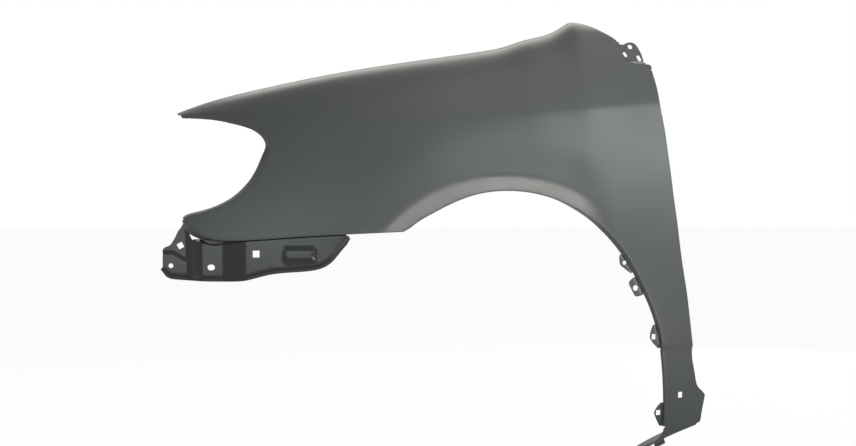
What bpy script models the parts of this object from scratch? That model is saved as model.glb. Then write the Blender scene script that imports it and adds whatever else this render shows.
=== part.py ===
"""Left front fender of a small saloon car, with the bumper side bracket welded to it.

The shape is set out in the body frame: x runs rearward from the wheel's centre, y inboard from
the widest line of the body side, and z up from the wheel's centre. All sizes are in metres. The
finished pieces are then moved so that the origin lies on the seat of one hood ledge pad.
"""

import math
from collections import namedtuple

import bmesh
import bpy
import numpy as np
from mathutils import Matrix, Vector
from mathutils.geometry import delaunay_2d_cdt

# Sheet
SKIN_SHEET = 0.0008
BRACKET_SHEET = 0.0012
WELD_GAP = 0.0004

# Body side in plan: it curves inboard ahead of the wheel and a little behind it
PLAN_START_X = -0.075
PLAN_RUN = 0.540
PLAN_IN = 0.125
PLAN_POWER = 2.3
DOOR_END_CROWN = 0.05

# Shoulder: a superellipse from the upright side to the level hood line
SHOULDER_Z = 0.150
SHOULDER_WIDTH = 0.108
SHOULDER_POWER = 2.6
SILL_CROWN = 0.15
CREST = (
    (-0.600, 0.4635), (-0.543, 0.4865), (-0.443, 0.5148), (-0.325, 0.5418), (-0.200, 0.5650),
    (-0.073, 0.5858), (0.000, 0.5980), (0.040, 0.6068), (0.080, 0.6203), (0.120, 0.6305),
    (0.148, 0.6405), (0.166, 0.6508), (0.182, 0.6598), (0.200, 0.6625), (0.360, 0.6630),
)

# Character line: a soft ridge from the headlamp to the door, fainter toward the front
CREASE_Z = 0.4664
CREASE_RISE = 0.095
CREASE_HEIGHT = 0.0055
CREASE_FRONT_SHARE = 0.30
CREASE_FAINT_X, CREASE_FADE_RUN = -0.350, 0.550
CREASE_ABOVE, CREASE_BELOW = 0.050, 0.060
CREASE_SOFTNESS = 0.006

# Wheel arch: opening, the band tucked in round it and the shallow hollow above that
ARCH_CENTRE = (0.0184, 0.0240)
ARCH_R = 0.2990
ARCH_FROM, ARCH_TO = math.radians(121.5), math.radians(20.5)
ARCH_REAR_X = 0.200
BAND_WIDTH = 0.0307
BAND_R = ARCH_R + BAND_WIDTH
BAND_TOE_X = 0.030
BAND_TOE_RUN = 0.220
BAND_TOE_EXTRA = 0.0082
TUCK = 0.009
TUCK_SOFTNESS = 0.003
TUCK_FADE_X = 0.150
TUCK_FADE_RUN = 0.090
HOLLOW = 0.004
HOLLOW_WIDTH = 0.085

# Sill zone of the foot, set in behind the sill moulding
SILL_STEP_Z = 0.016
SILL_STEP_HEIGHT = 0.016
SILL_STEP_IN = 0.003

# Cowl tab: a flat plate set in from the skin at the upper rear corner
TAB_FRONT_X = 0.2715
TAB_FLOOR_Z = 0.5785
TAB_CORNER_R = 0.016
TAB_STEP = 0.0040
TAB_PLANE_Y = 0.0535
TAB_PLANE_LEAN = 0.45

# Outline of the skin, as x and z of the points that each edge passes through
BUMPER_EDGE = (
    (-0.5950, 0.2688), (-0.5880, 0.2590), (-0.5775, 0.2478), (-0.5650, 0.2392), (-0.5490, 0.2328),
    (-0.5300, 0.2296), (-0.4965, 0.2290), (-0.4585, 0.2312), (-0.3910, 0.2362), (-0.3000, 0.2410),
    (-0.1940, 0.2455),
)
ARCH_TOE = ((-0.1940, 0.2455), (-0.1824, 0.2519), (-0.1706, 0.2603))
ARCH_LEG = (
    (0.3015, 0.1298), (0.3180, 0.0950), (0.3300, 0.0640), (0.3385, 0.0300), (0.3425, 0.0000),
    (0.3475, -0.0550), (0.3505, -0.1100), (0.3505, -0.1430),
)
TOE_TOP = (
    (0.3505, -0.1430), (0.3478, -0.1525), (0.3420, -0.1600), (0.3334, -0.1670), (0.3156, -0.1740),
    (0.2994, -0.1800),
)
TOE_END = ((0.2994, -0.1800), (0.2994, -0.1900))
BOTTOM_EDGE = ((0.2994, -0.1900), (0.3366, -0.1720), (0.3900, -0.1516), (0.4250, -0.1402))
HEEL_REAR = (
    (0.4250, -0.1402), (0.4302, -0.1355), (0.4345, -0.1184), (0.4386, -0.0945), (0.4414, -0.0760),
)
HEEL_TOP = (
    (0.4414, -0.0760), (0.4362, -0.0704), (0.4264, -0.0615), (0.4206, -0.0450), (0.4155, -0.0215),
    (0.4120, -0.0050), (0.4112, 0.0120),
)
DOOR_EDGE = (
    (0.4112, 0.0120), (0.4024, 0.0742), (0.3957, 0.1218), (0.3873, 0.1693), (0.3800, 0.2168),
    (0.3740, 0.2642), (0.3673, 0.3115), (0.3618, 0.3589), (0.3561, 0.4062), (0.3504, 0.4538),
    (0.3437, 0.4953), (0.3417, 0.5254), (0.3380, 0.5495), (0.3347, 0.5678),
)
DOOR_CORNER = (
    (0.3347, 0.5678), (0.3340, 0.5728), (0.3318, 0.5757), (0.3270, 0.5767), (0.3226, 0.5768),
)
COWL_TAB = (
    (0.3226, 0.5768), (0.3222, 0.5895), (0.3208, 0.5996), (0.3172, 0.6096), (0.3115, 0.6192),
    (0.3060, 0.6220), (0.2999, 0.6221), (0.2922, 0.6202), (0.2859, 0.6172), (0.2780, 0.6178),
    (0.2718, 0.6203),
)
COWL_EDGE = (
    (0.2718, 0.6203), (0.2657, 0.6264), (0.2564, 0.6335), (0.2416, 0.6420), (0.2275, 0.6495),
    (0.2129, 0.6555), (0.2010, 0.6588), (0.1930, 0.6602),
)
HOOD_FRONT_X = -0.5845
HOOD_REAR_X = 0.1820
LAMP_EDGE = (
    (-0.5845, 0.4650), (-0.5670, 0.4665), (-0.5500, 0.4672), (-0.5340, 0.4668), (-0.5180, 0.4646),
    (-0.4860, 0.4555), (-0.4602, 0.4429), (-0.4476, 0.4315), (-0.4416, 0.4201), (-0.4399, 0.4051),
    (-0.4452, 0.3901), (-0.4532, 0.3715), (-0.4645, 0.3492), (-0.4808, 0.3288), (-0.5021, 0.3102),
    (-0.5265, 0.2955), (-0.5539, 0.2843), (-0.5700, 0.2797), (-0.5812, 0.2769), (-0.5893, 0.2736),
    (-0.5950, 0.2688),
)

# Folds along the edges of the skin
DOOR_BEND, DOOR_FLANGE = 0.0025, 0.0080
COWL_BEND, COWL_FLANGE = 0.0020, 0.0060
SILL_BEND, SILL_FLANGE = 0.0040, 0.0300
SILL_HOOK_FROM_X, SILL_HOOK_TO_X, SILL_HOOK = 0.3400, 0.3690, 0.0220
HOOD_BEND, HOOD_DROP, HOOD_LEDGE = 0.0030, 0.0140, 0.0240
HOOD_PADS = (-0.4700, -0.2600, -0.0300, 0.1250)
HOOD_PAD_LENGTH = 0.0400
HOOD_HOLE = 0.0090
HOOD_HOLE_OFFSET = 0.0080
SEAT_PAD = 1
FLANGE_RUNOUT = 0.0150
FLANGE_START = 0.45

# Bumper fold: place along the car, turn of the fold and width of the flange
BUMPER_BEND = 0.0020
BUMPER_FOLD = (
    (-0.597, 50.0, 0.0120), (-0.578, 46.0, 0.0150), (-0.564, 58.0, 0.0140), (-0.546, 90.0, 0.0150),
    (-0.190, 90.0, 0.0150),
)

# Arch fold: angle round the arch from straight behind, turn of the fold and width of the flange
ARCH_BEND = 0.0025
ARCH_FOLD = (
    (-28.0, 78.0, 0.0070), (-23.0, 86.0, 0.0040), (-12.0, 88.0, 0.0035), (-5.0, 85.0, 0.0045),
    (-1.0, 82.0, 0.0055), (4.0, 78.0, 0.0065), (8.0, 74.0, 0.0085), (16.0, 72.0, 0.0080),
    (21.5, 68.0, 0.0090), (34.0, 65.0, 0.0105), (41.0, 64.0, 0.0108), (49.5, 63.5, 0.0118),
    (56.0, 67.0, 0.0108), (62.0, 71.0, 0.0095), (69.0, 82.0, 0.0080), (76.0, 91.0, 0.0070),
    (140.0, 91.0, 0.0070),
)

# Headlamp fold: distance from the nose, turn of the fold and width of the flange
LAMP_BEND = 0.0020
LAMP_FOLD = (
    (0.000, 88.0, 0.0040), (0.025, 85.0, 0.0080), (0.050, 75.0, 0.0105), (0.072, 67.0, 0.0120),
    (0.105, 63.0, 0.0135), (0.150, 67.0, 0.0135), (0.175, 60.0, 0.0140), (0.215, 49.0, 0.0150),
    (0.245, 47.0, 0.0150), (0.270, 47.0, 0.0150), (0.300, 52.0, 0.0140), (0.340, 62.0, 0.0125),
    (0.380, 64.0, 0.0110),
)

# Clip tabs along the rear of the arch: the height of the hole, how far the tab runs above and
# below it along the edge, the tab's reach, how square its upper and lower halves are, and where
# along the reach the hole is, with its size
ClipTab = namedtuple("ClipTab", "z above below reach upper lower hole_at hole hole_height corner")
CLIP_TABS = (
    ClipTab(0.1857, 0.0180, 0.0250, 0.0110, 1.8, 1.1, 0.15, 0.0080, 0.0080, 0.5),
    ClipTab(0.1382, 0.0225, 0.0190, 0.0155, 9.0, 9.0, 0.43, 0.0110, 0.0110, 0.5),
    ClipTab(0.0400, 0.0230, 0.0270, 0.0160, 1.5, 1.5, 0.48, 0.0085, 0.0105, 0.2),
    ClipTab(-0.1130, 0.0195, 0.0310, 0.0165, 1.5, 1.3, 0.45, 0.0095, 0.0100, 0.1),
)
CLIP_BEND = 0.0020
CLIP_TAPER_TO = 0.12

# Holes in the cowl tab and the foot: x, z, width, height, corner share and turn
COWL_HOLES = (
    (0.2992, 0.6128, 0.0095, 0.0095, 0.35, 0.0),
    (0.2848, 0.5965, 0.0070, 0.0115, 0.50, 25.0),
    (0.3138, 0.5895, 0.0076, 0.0128, 0.30, 15.0),
)
FOOT_HOLE = (0.3845, -0.0780, 0.0090, 0.0115, 0.10, 0.0)

# Bumper side bracket, stepped inboard toward the front
BRACKET_INSET = 0.0100
STEP_SLOPES = ((-0.4900, 1.050), (-0.5185, -0.794), (-0.5615, 1.614), (-0.5754, -1.660))
STEP_SOFTNESS = 0.0050
BRACKET_BEND = 0.0020
BRACKET_LEDGE = 0.0120
BRACKET_UPSTAND = 0.0240
LEDGE_DIP = 0.0090
LEDGE_DIP_X, LEDGE_DIP_RUN = -0.4850, 0.0600
LIP_STEP, LIP = 0.0020, 0.0055
LIP_TURN = math.radians(80.0)
BRACKET_BOTTOM = (
    (-0.6185, 0.1640), (-0.6130, 0.1598), (-0.6065, 0.1578), (-0.5957, 0.1565), (-0.5748, 0.1548),
    (-0.5570, 0.1538), (-0.5151, 0.1533), (-0.4872, 0.1552), (-0.4667, 0.1601), (-0.4457, 0.1657),
    (-0.4140, 0.1699), (-0.3819, 0.1721), (-0.3604, 0.1750), (-0.3386, 0.1835), (-0.3270, 0.1935),
    (-0.3160, 0.2073), (-0.3040, 0.2213), (-0.2930, 0.2325), (-0.2835, 0.2402),
)
BRACKET_REAR_X, BRACKET_LEDGE_END_X = -0.2835, -0.5740
WING = (
    (-0.5765, 0.2440), (-0.5760, 0.2560), (-0.5795, 0.2635), (-0.5840, 0.2635), (-0.5880, 0.2570),
    (-0.5943, 0.2482), (-0.5997, 0.2370), (-0.6060, 0.2258), (-0.6114, 0.2197), (-0.6195, 0.2165),
    (-0.6230, 0.2113),
)
BRACKET_FRONT = ((-0.6230, 0.2113), (-0.6235, 0.1950), (-0.6228, 0.1790), (-0.6185, 0.1640))
WING_STEP_Z, WING_STEP_FALL, WING_STEP_X = 0.2055, 0.64, -0.6040
WING_STEP_IN, WING_STEP_HEIGHT = 0.0025, 0.0035
PAD_X, PAD_Z, PAD_HALF_LENGTH, PAD_HALF_HEIGHT = -0.3908, 0.2035, 0.0300, 0.0150
PAD_OUT, PAD_EDGE = 0.0040, 0.0060
BRACKET_HOLES = (
    (-0.4665, 0.2047, 0.0125, 0.0125, 0.08, 0.0),
    (-0.5408, 0.1795, 0.0135, 0.0105, 0.50, 0.0),
    (-0.6085, 0.1825, 0.0088, 0.0088, 0.50, 0.0),
    (-0.5907, 0.2200, 0.0105, 0.0105, 0.08, 30.0),
)

# Fineness of the mesh
SKIN_GRID = 0.033
SKIN_EDGE = 0.014
BRACKET_GRID = 0.018
BRACKET_EDGE = 0.0080
CLIP_STEP = 0.0045
ARC_STEP = math.radians(46.0)
HOLE_SIDES_PER_CORNER = 3
CORNER_ANGLE = math.radians(20.0)
CORNER_STEP = 0.0010
CORNER_REACH = 0.0200

Chain = namedtuple("Chain", "name points inset step")


def smooth(t):
    """A ramp from 0 to 1 with level ends."""
    t = np.clip(t, 0.0, 1.0)
    return t * t * (3.0 - 2.0 * t)


def soft_ramp(t, softness):
    """t where it is positive and 0 where it is negative, with a rounded corner."""
    return 0.5 * (t + np.sqrt(t * t + softness * softness))


def unit(vectors):
    return vectors / np.linalg.norm(vectors, axis=-1, keepdims=True)


def spline(knots, values):
    """The natural cubic spline through values at knots, as a function."""
    knots = np.asarray(knots, float)
    values = np.asarray(values, float)
    step = np.diff(knots)
    count = len(knots)
    matrix = np.eye(count)
    right = np.zeros(values.shape)
    for i in range(1, count - 1):
        matrix[i, i - 1 : i + 2] = step[i - 1], 2.0 * (step[i - 1] + step[i]), step[i]
        slope_in = (values[i] - values[i - 1]) / step[i - 1]
        slope_out = (values[i + 1] - values[i]) / step[i]
        right[i] = 6.0 * (slope_out - slope_in)
    second = np.linalg.solve(matrix, right)

    def at(t):
        t = np.asarray(t, float)
        i = np.clip(np.searchsorted(knots, t) - 1, 0, count - 2)
        h = step[i]
        a = (knots[i + 1] - t) / h
        b = (t - knots[i]) / h
        if values.ndim > 1:
            a, b, h = a[..., None], b[..., None], h[..., None]
        bend = (a**3 - a) * second[i] + (b**3 - b) * second[i + 1]
        return a * values[i] + b * values[i + 1] + bend * h * h / 6.0

    return at


crest_height = spline([x for x, _ in CREST], [z for _, z in CREST])
bumper_height = spline([x for x, _ in BUMPER_EDGE], [z for _, z in BUMPER_EDGE])


def plan_in(x):
    """How far the body side has curved inboard at x."""
    ahead = np.maximum(0.0, (PLAN_START_X - x) / PLAN_RUN)
    behind = np.maximum(0.0, x)
    return PLAN_IN * ahead**PLAN_POWER + DOOR_END_CROWN * behind**2


def shoulder_in(x, z):
    """How far the shoulder has rolled inboard at height z."""
    share = np.clip((z - SHOULDER_Z) / (crest_height(x) - SHOULDER_Z), 0.0, 1.0)
    return SHOULDER_WIDTH * (1.0 - np.sqrt(1.0 - share**SHOULDER_POWER))


def arch_distance(x, z):
    return np.hypot(x - ARCH_CENTRE[0], z - ARCH_CENTRE[1])


def band_radius(x):
    """Outer radius of the tucked band, which widens toward the front corner of the arch."""
    return BAND_R + BAND_TOE_EXTRA * smooth((BAND_TOE_X - x) / BAND_TOE_RUN)


def crease_height(x):
    return CREASE_Z + CREASE_RISE * x


def pressed_in(x, z):
    """Inboard offset of the pressed details: character line, arch band, hollow and sill zone."""
    strong = smooth((x - CREASE_FAINT_X) / CREASE_FADE_RUN)
    height = CREASE_HEIGHT * (CREASE_FRONT_SHARE + (1.0 - CREASE_FRONT_SHARE) * strong)
    apart = z - crease_height(x)
    away = np.sqrt(apart**2 + CREASE_SOFTNESS**2)
    crease = height * np.exp(-away / np.where(apart > 0.0, CREASE_ABOVE, CREASE_BELOW))

    fade = 1.0 - smooth((x - TUCK_FADE_X) / TUCK_FADE_RUN)
    band = band_radius(x)
    past = (band - arch_distance(x, z)) / BAND_WIDTH
    tuck = TUCK * soft_ramp(past, TUCK_SOFTNESS / BAND_WIDTH)
    hollow = HOLLOW * smooth(1.0 - (arch_distance(x, z) - band) / HOLLOW_WIDTH)
    over_wheel = smooth((z - SHOULDER_Z + 0.10) / 0.10)
    arch = fade * over_wheel * (hollow + tuck)

    sill = SILL_STEP_IN * smooth((SILL_STEP_Z - z) / SILL_STEP_HEIGHT + 0.5)
    behind_wheel = smooth((x - 0.20) / 0.05)
    crown = SILL_CROWN * np.maximum(0.0, SHOULDER_Z - z) ** 2
    return arch + sill * behind_wheel + crown - crease


def tab_share(x, z):
    """1 on the cowl tab and 0 on the skin, across a step that rounds the tab's corner."""
    inner_x = TAB_CORNER_R - (x - TAB_FRONT_X)
    inner_z = TAB_CORNER_R - (z - TAB_FLOOR_Z)
    corner = np.hypot(np.maximum(inner_x, 0.0), np.maximum(inner_z, 0.0))
    depth = TAB_CORNER_R - np.maximum(corner, np.maximum(inner_x, inner_z))
    return smooth(depth / TAB_STEP)


def section(x, s):
    """Height and shoulder offset of the point whose height and offset add up to s."""
    rise = crest_height(x) - SHOULDER_Z
    low = np.zeros_like(s)
    high = np.full_like(s, math.pi / 2)
    for _ in range(45):
        middle = (low + high) / 2
        height = rise * np.sin(middle) ** (2.0 / SHOULDER_POWER)
        offset = SHOULDER_WIDTH * (1.0 - np.cos(middle))
        below = height + offset < s - SHOULDER_Z
        low = np.where(below, middle, low)
        high = np.where(below, high, middle)
    upright = s < SHOULDER_Z
    return np.where(upright, s, SHOULDER_Z + height), np.where(upright, 0.0, offset)


def skin_at(flat):
    """Places points of the flat pattern, given as x and s, on the outer face of the skin."""
    x, s = flat[:, 0], flat[:, 1]
    z, rolled = section(x, s)
    side = plan_in(x) + rolled + pressed_in(x, z)
    plate = TAB_PLANE_Y + TAB_PLANE_LEAN * (z - TAB_FLOOR_Z)
    share = tab_share(x, z)
    return np.stack([x, side + share * (plate - side), z], axis=1)


def skin_flat(points):
    """Flat pattern x and s of outline points given as x and z."""
    x, z = np.array(points, float).T
    return np.stack([x, z + shoulder_in(x, z)], axis=1)


def stair_in(x):
    """Inboard offset of the bracket's faces and walls at x."""
    first = STEP_SLOPES[0][0]
    offset = plan_in(np.maximum(x, first)) + BRACKET_INSET
    for start, slope in STEP_SLOPES:
        offset = offset + slope * soft_ramp(start - x, STEP_SOFTNESS)
    return offset


def bracket_at(flat):
    """Places points of the bracket's flat pattern, given as x and z, on its outer face."""
    x, z = flat[:, 0], flat[:, 1]
    line = WING_STEP_Z - WING_STEP_FALL * np.maximum(0.0, x - WING_STEP_X)
    wing = smooth((STEP_SLOPES[3][0] - x) / 0.004)
    stepped = WING_STEP_IN * wing * smooth((z - line) / WING_STEP_HEIGHT)
    across = np.abs(x - PAD_X) - PAD_HALF_LENGTH
    along = np.abs(z - PAD_Z) - PAD_HALF_HEIGHT
    raised = PAD_OUT * smooth(-across / PAD_EDGE) * smooth(-along / PAD_HALF_HEIGHT)
    return np.stack([x, stair_in(x) + stepped - raised, z], axis=1)


def normals_of(place, flat):
    """Outward normals of a placed sheet."""
    h = 1e-5
    along_x = place(flat + (h, 0.0)) - place(flat - (h, 0.0))
    along_s = place(flat + (0.0, h)) - place(flat - (0.0, h))
    return unit(np.cross(along_x, along_s))


def run_length(points):
    """Distance along a polyline at each of its points."""
    return np.concatenate([[0.0], np.cumsum(np.linalg.norm(np.diff(points, axis=0), axis=1))])


def stepped(start, end, step):
    return np.linspace(start, end, max(2, round((end - start) / step) + 1))


def sampled(points, step):
    """Evenly spaced points on the smooth curve through the given ones, ends included."""
    points = np.array(points, float)
    chord = run_length(points)
    return spline(chord, points)(stepped(0.0, chord[-1], step))


def pulled_in(run, inset):
    """An open run of points moved inward, to the left of its direction."""
    ahead = unit(np.diff(run, axis=0))
    inward = np.stack([-ahead[:, 1], ahead[:, 0]], axis=1)
    both = np.concatenate([inward[:1], inward[:-1] + inward[1:], inward[-1:]])
    return run + inset * unit(both)


def crossing(a, b):
    """Where two runs cross nearest to the end of the first and the start of the second."""
    for i in range(len(a) - 1, 0, -1):
        for j in range(1, len(b)):
            run_a, run_b = a[i] - a[i - 1], b[j] - b[j - 1]
            sides = np.stack([run_a, -run_b], axis=1)
            if abs(np.linalg.det(sides)) < 1e-12:
                continue
            t, u = np.linalg.solve(sides, b[j - 1] - a[i - 1])
            if -1e-9 <= t <= 1.0 + 1e-9 and -1e-9 <= u <= 1.0 + 1e-9:
                return i, j, a[i - 1] + t * run_a
    return None


def joined(a, b):
    """Two neighbouring runs trimmed or lengthened to meet at a corner, or stepped where parallel."""
    end, start = unit(a[-1] - a[-2]), unit(b[1] - b[0])
    if np.dot(end, start) > math.cos(CORNER_ANGLE):
        if np.linalg.norm(a[-1] - b[0]) < CORNER_STEP:
            b[0] = a[-1]
        return a, b
    longer_a = np.concatenate([a, [a[-1] + end * CORNER_REACH]])
    longer_b = np.concatenate([[b[0] - start * CORNER_REACH], b])
    i, j, corner = crossing(longer_a, longer_b)
    near_a = [p for p in longer_a[:i] if np.linalg.norm(p - corner) > CORNER_STEP]
    near_b = [p for p in longer_b[j:] if np.linalg.norm(p - corner) > CORNER_STEP]
    return np.array([*near_a, corner]), np.array([corner, *near_b])


def closed_outline(chains):
    """The flat loop through all chains, and the stretch of it that each chain covers."""
    runs = []
    for chain in chains:
        run = chain.points if chain.step is None else sampled(chain.points, chain.step)
        runs.append(pulled_in(run, chain.inset))
    for k in range(len(runs)):
        runs[k - 1], runs[k] = joined(runs[k - 1], runs[k])
    loop, spans = [], {}
    for k, chain in enumerate(chains):
        run = runs[k]
        meets = np.allclose(run[-1], runs[(k + 1) % len(runs)][0])
        spans[chain.name] = (len(loop), len(loop) + len(run) - 1)
        loop.extend(run[:-1] if meets else run)
    return np.array(loop), spans


def near(points, loop, closed):
    """Least distance from each point to a polyline."""
    ends = np.roll(loop, -1, axis=0) if closed else loop[1:]
    starts = loop if closed else loop[:-1]
    run = ends - starts
    share = ((points[:, None] - starts) * run).sum(-1) / (run**2).sum(-1)
    foot = starts + np.clip(share, 0.0, 1.0)[..., None] * run
    return np.linalg.norm(points[:, None] - foot, axis=-1).min(axis=1)


def within(points, loop):
    """Whether each point lies inside a closed loop."""
    x, y = points[:, :1], points[:, 1:]
    ends = np.roll(loop, -1, axis=0)
    crosses = (loop[:, 1] > y) != (ends[:, 1] > y)
    rise = np.where(ends[:, 1] == loop[:, 1], 1.0, ends[:, 1] - loop[:, 1])
    at = loop[:, 0] + (y - loop[:, 1]) * (ends[:, 0] - loop[:, 0]) / rise
    return (crosses & (at > x)).sum(axis=1) % 2 == 1


def filled(loop, creases, grid):
    """Points and triangles that fill a flat loop, with an edge along every crease."""
    low, high = loop.min(axis=0), loop.max(axis=0)
    rows = np.arange(low[1], high[1], grid * math.sqrt(0.75))
    field = [
        (x + (grid / 2 if k % 2 else 0.0), s)
        for k, s in enumerate(rows)
        for x in np.arange(low[0], high[0], grid)
    ]
    field = np.array(field)
    keep = within(field, loop) & (near(field, loop, True) > 0.55 * grid)
    for crease in creases:
        keep &= near(field, crease, False) > 0.45 * grid
    points = [Vector(p) for p in loop]
    edges = []
    for crease in creases:
        first = len(points)
        points += [Vector(p) for p in crease]
        edges += [(first + k, first + k + 1) for k in range(len(crease) - 1)]
    points += [Vector(p) for p in field[keep]]
    face = list(range(len(loop)))
    result = delaunay_2d_cdt(points, edges, [face], 1, 1e-7)
    used = sorted({i for triangle in result[2] for i in triangle})
    place = {old: new for new, old in enumerate(used)}
    triangles = [[place[i] for i in triangle] for triangle in result[2]]
    return np.array([tuple(result[0][i]) for i in used]), triangles


def edge_frame(place, loop, span):
    """Points of one stretch of the outline in space, with their outward directions and normals."""
    flat = loop[np.arange(span[0], span[1] + 1) % len(loop)]
    point = place(flat)
    normal = normals_of(place, flat)
    out = unit(np.cross(np.gradient(point, axis=0), normal))
    return point, out, normal


def levelled(edge):
    """The edge with its normals turned level, so that a right-angle fold runs level too."""
    point, _, normal = edge
    level = unit(normal * (1.0, 1.0, 0.0))
    return point, unit(np.cross(np.gradient(point, axis=0), level)), level


def part_of(edge, first, last):
    return tuple(item[first:last] for item in edge)


def turned(out, normal, angle):
    """The frame after a fold toward the inside by an angle."""
    c, s = np.cos(angle), np.sin(angle)
    return out * c - normal * s, normal * c + out * s


def fold(edge, moves):
    """Rows of points across a fold. Each move turns through an arc, then runs straight."""
    point, out, normal = edge
    rows = [point]
    for radius, turn, leg in moves:
        turn = np.reshape(turn, (-1, 1))
        steps = math.ceil(np.abs(turn).max() / ARC_STEP)
        for _ in range(steps):
            half = turn / steps / 2
            out, normal = turned(out, normal, half)
            point = point + out * (2 * radius * np.sin(np.abs(half)))
            out, normal = turned(out, normal, half)
            rows.append(point)
        if np.any(leg):
            point = point + out * np.reshape(leg, (-1, 1))
            rows.append(point)
    return rows, (point, out, normal)


def fold_at(table, place):
    """Turn and flange width of a fold at places along its edge."""
    places, turns, legs = np.array(table).T
    return np.radians(np.interp(place, places, turns)), np.interp(place, places, legs)


def runout(edge, both=True):
    """Share of the full leg along an edge: shorter toward its start, or toward both ends."""
    along = run_length(edge[0])
    from_end = np.minimum(along, along[-1] - along) if both else along
    return FLANGE_START + (1.0 - FLANGE_START) * smooth(from_end / FLANGE_RUNOUT)


class Sheet:
    """A pressed sheet: its outer face, built from filled outlines and folds."""

    def __init__(self):
        self.mesh = bmesh.new()

    def fill(self, points, triangles):
        verts = [self.mesh.verts.new(p) for p in points]
        for triangle in triangles:
            self.mesh.faces.new([verts[i] for i in triangle])

    def strip(self, rows):
        grid = [[self.mesh.verts.new(p) for p in row] for row in rows]
        for near_row, far_row in zip(grid, grid[1:]):
            for i in range(len(near_row) - 1):
                corners = (near_row[i + 1], near_row[i], far_row[i], far_row[i + 1])
                self.mesh.faces.new(corners)

    def finished(self, name, thickness, shift):
        """The sheet as an object, with its joints closed and its thickness on the inside."""
        bmesh.ops.remove_doubles(self.mesh, verts=self.mesh.verts, dist=1e-5)
        bmesh.ops.triangulate(self.mesh, faces=self.mesh.faces, quad_method="SHORT_EDGE")
        bmesh.ops.translate(self.mesh, vec=shift, verts=self.mesh.verts)
        data = bpy.data.meshes.new(name)
        self.mesh.to_mesh(data)
        self.mesh.free()
        data.shade_smooth()
        data.set_sharp_from_angle(angle=math.radians(40.0))
        sheet = bpy.data.objects.new(name, data)
        bpy.context.scene.collection.objects.link(sheet)
        solid = sheet.modifiers.new("Thickness", "SOLIDIFY")
        solid.thickness = thickness
        solid.offset = -1.0
        solid.use_even_offset = True
        solid.use_quality_normals = True
        return sheet


def hole_outline(width, height, corner, turn):
    """A rectangle with rounded corners. A corner share of 0.5 makes it round or oblong."""
    radius = corner * min(width, height)
    points = []
    for quarter, (sx, sy) in enumerate(((1, 1), (-1, 1), (-1, -1), (1, -1))):
        centre = Vector((sx * (width / 2 - radius), sy * (height / 2 - radius)))
        for k in range(HOLE_SIDES_PER_CORNER + 1):
            angle = math.pi / 2 * (quarter + k / HOLE_SIDES_PER_CORNER)
            points.append(centre + radius * Vector((math.cos(angle), math.sin(angle))))
    spin = Matrix.Rotation(math.radians(turn), 2)
    return [spin @ p for p in points]


class Punches:
    """All the holes of one sheet, as one cutter."""

    def __init__(self):
        self.mesh = bmesh.new()

    def add(self, centre, normal, width, height, corner, turn, up=(0.0, 0.0, 1.0), reach=0.006):
        normal = Vector(normal).normalized()
        across = Vector(up).cross(normal).normalized()
        upward = normal.cross(across)
        ring = hole_outline(width, height, corner, turn)
        centre = Vector(centre)
        flat = [centre + across * p.x + upward * p.y for p in ring]
        low = [self.mesh.verts.new(p - normal * reach) for p in flat]
        high = [self.mesh.verts.new(p + normal * reach) for p in flat]
        bmesh.ops.remove_doubles(self.mesh, verts=low + high, dist=1e-6)
        low = [v for v in low if v.is_valid]
        high = [v for v in high if v.is_valid]
        self.mesh.faces.new(high)
        self.mesh.faces.new(low[::-1])
        for i in range(len(low)):
            k = (i + 1) % len(low)
            self.mesh.faces.new((low[i], low[k], high[k], high[i]))

    def cut(self, sheet, shift):
        bmesh.ops.translate(self.mesh, vec=shift, verts=self.mesh.verts)
        data = bpy.data.meshes.new(sheet.name + "_punches")
        self.mesh.to_mesh(data)
        self.mesh.free()
        cutter = bpy.data.objects.new(data.name, data)
        bpy.context.scene.collection.objects.link(cutter)
        cutter.hide_render = True
        cutter.display_type = "WIRE"
        holes = sheet.modifiers.new("Holes", "BOOLEAN")
        holes.operation = "DIFFERENCE"
        holes.solver = "EXACT"
        holes.object = cutter


def material(name, colour, roughness, metallic):
    made = bpy.data.materials.new(name)
    made.use_nodes = True
    shader = made.node_tree.nodes["Principled BSDF"]
    shader.inputs["Base Color"].default_value = (*colour, 1.0)
    shader.inputs["Roughness"].default_value = roughness
    shader.inputs["Metallic"].default_value = metallic
    return made


def arch_points():
    """The arch edge: a short toe, the round of the wheel opening, and the rear leg."""
    angles = np.linspace(ARCH_FROM, ARCH_TO, 7)[:-1]
    ring = [
        (ARCH_CENTRE[0] + ARCH_R * math.cos(a), ARCH_CENTRE[1] + ARCH_R * math.sin(a))
        for a in angles
    ]
    return [*ARCH_TOE, *ring, *ARCH_LEG]


def arch_run():
    """The arch edge in the flat pattern, with close points where the clip tabs are."""
    flat = skin_flat(arch_points())
    coarse = sampled(flat, CLIP_STEP / 2)
    along = run_length(coarse)
    rear = coarse[:, 0] > ARCH_REAR_X
    stops = [0.0]
    for tab in CLIP_TABS:
        hole = along[rear][np.argmin(np.abs(coarse[rear, 1] - tab.z))]
        stops += [hole - tab.above, hole, hole + tab.below]
    stops.append(along[-1])
    chosen = []
    for k, (a, b) in enumerate(zip(stops, stops[1:])):
        chosen.append(stepped(a, b, CLIP_STEP if k % 3 else SKIN_EDGE)[:-1])
    chosen = np.concatenate([*chosen, [along[-1]]])
    return np.stack([np.interp(chosen, along, coarse[:, k]) for k in (0, 1)], axis=1)


def hood_run():
    """The hood line in the flat pattern, from the cowl to the nose, with points at every pad."""
    stops = [HOOD_FRONT_X]
    for pad in HOOD_PADS:
        stops += [pad - HOOD_PAD_LENGTH / 2, pad, pad + HOOD_PAD_LENGTH / 2]
    stops.append(HOOD_REAR_X)
    runs = [stepped(a, b, SKIN_EDGE)[:-1] for a, b in zip(stops, stops[1:])]
    x = np.concatenate([*runs, [HOOD_REAR_X]])[::-1]
    return np.stack([x, crest_height(x) + SHOULDER_WIDTH], axis=1)


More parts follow.
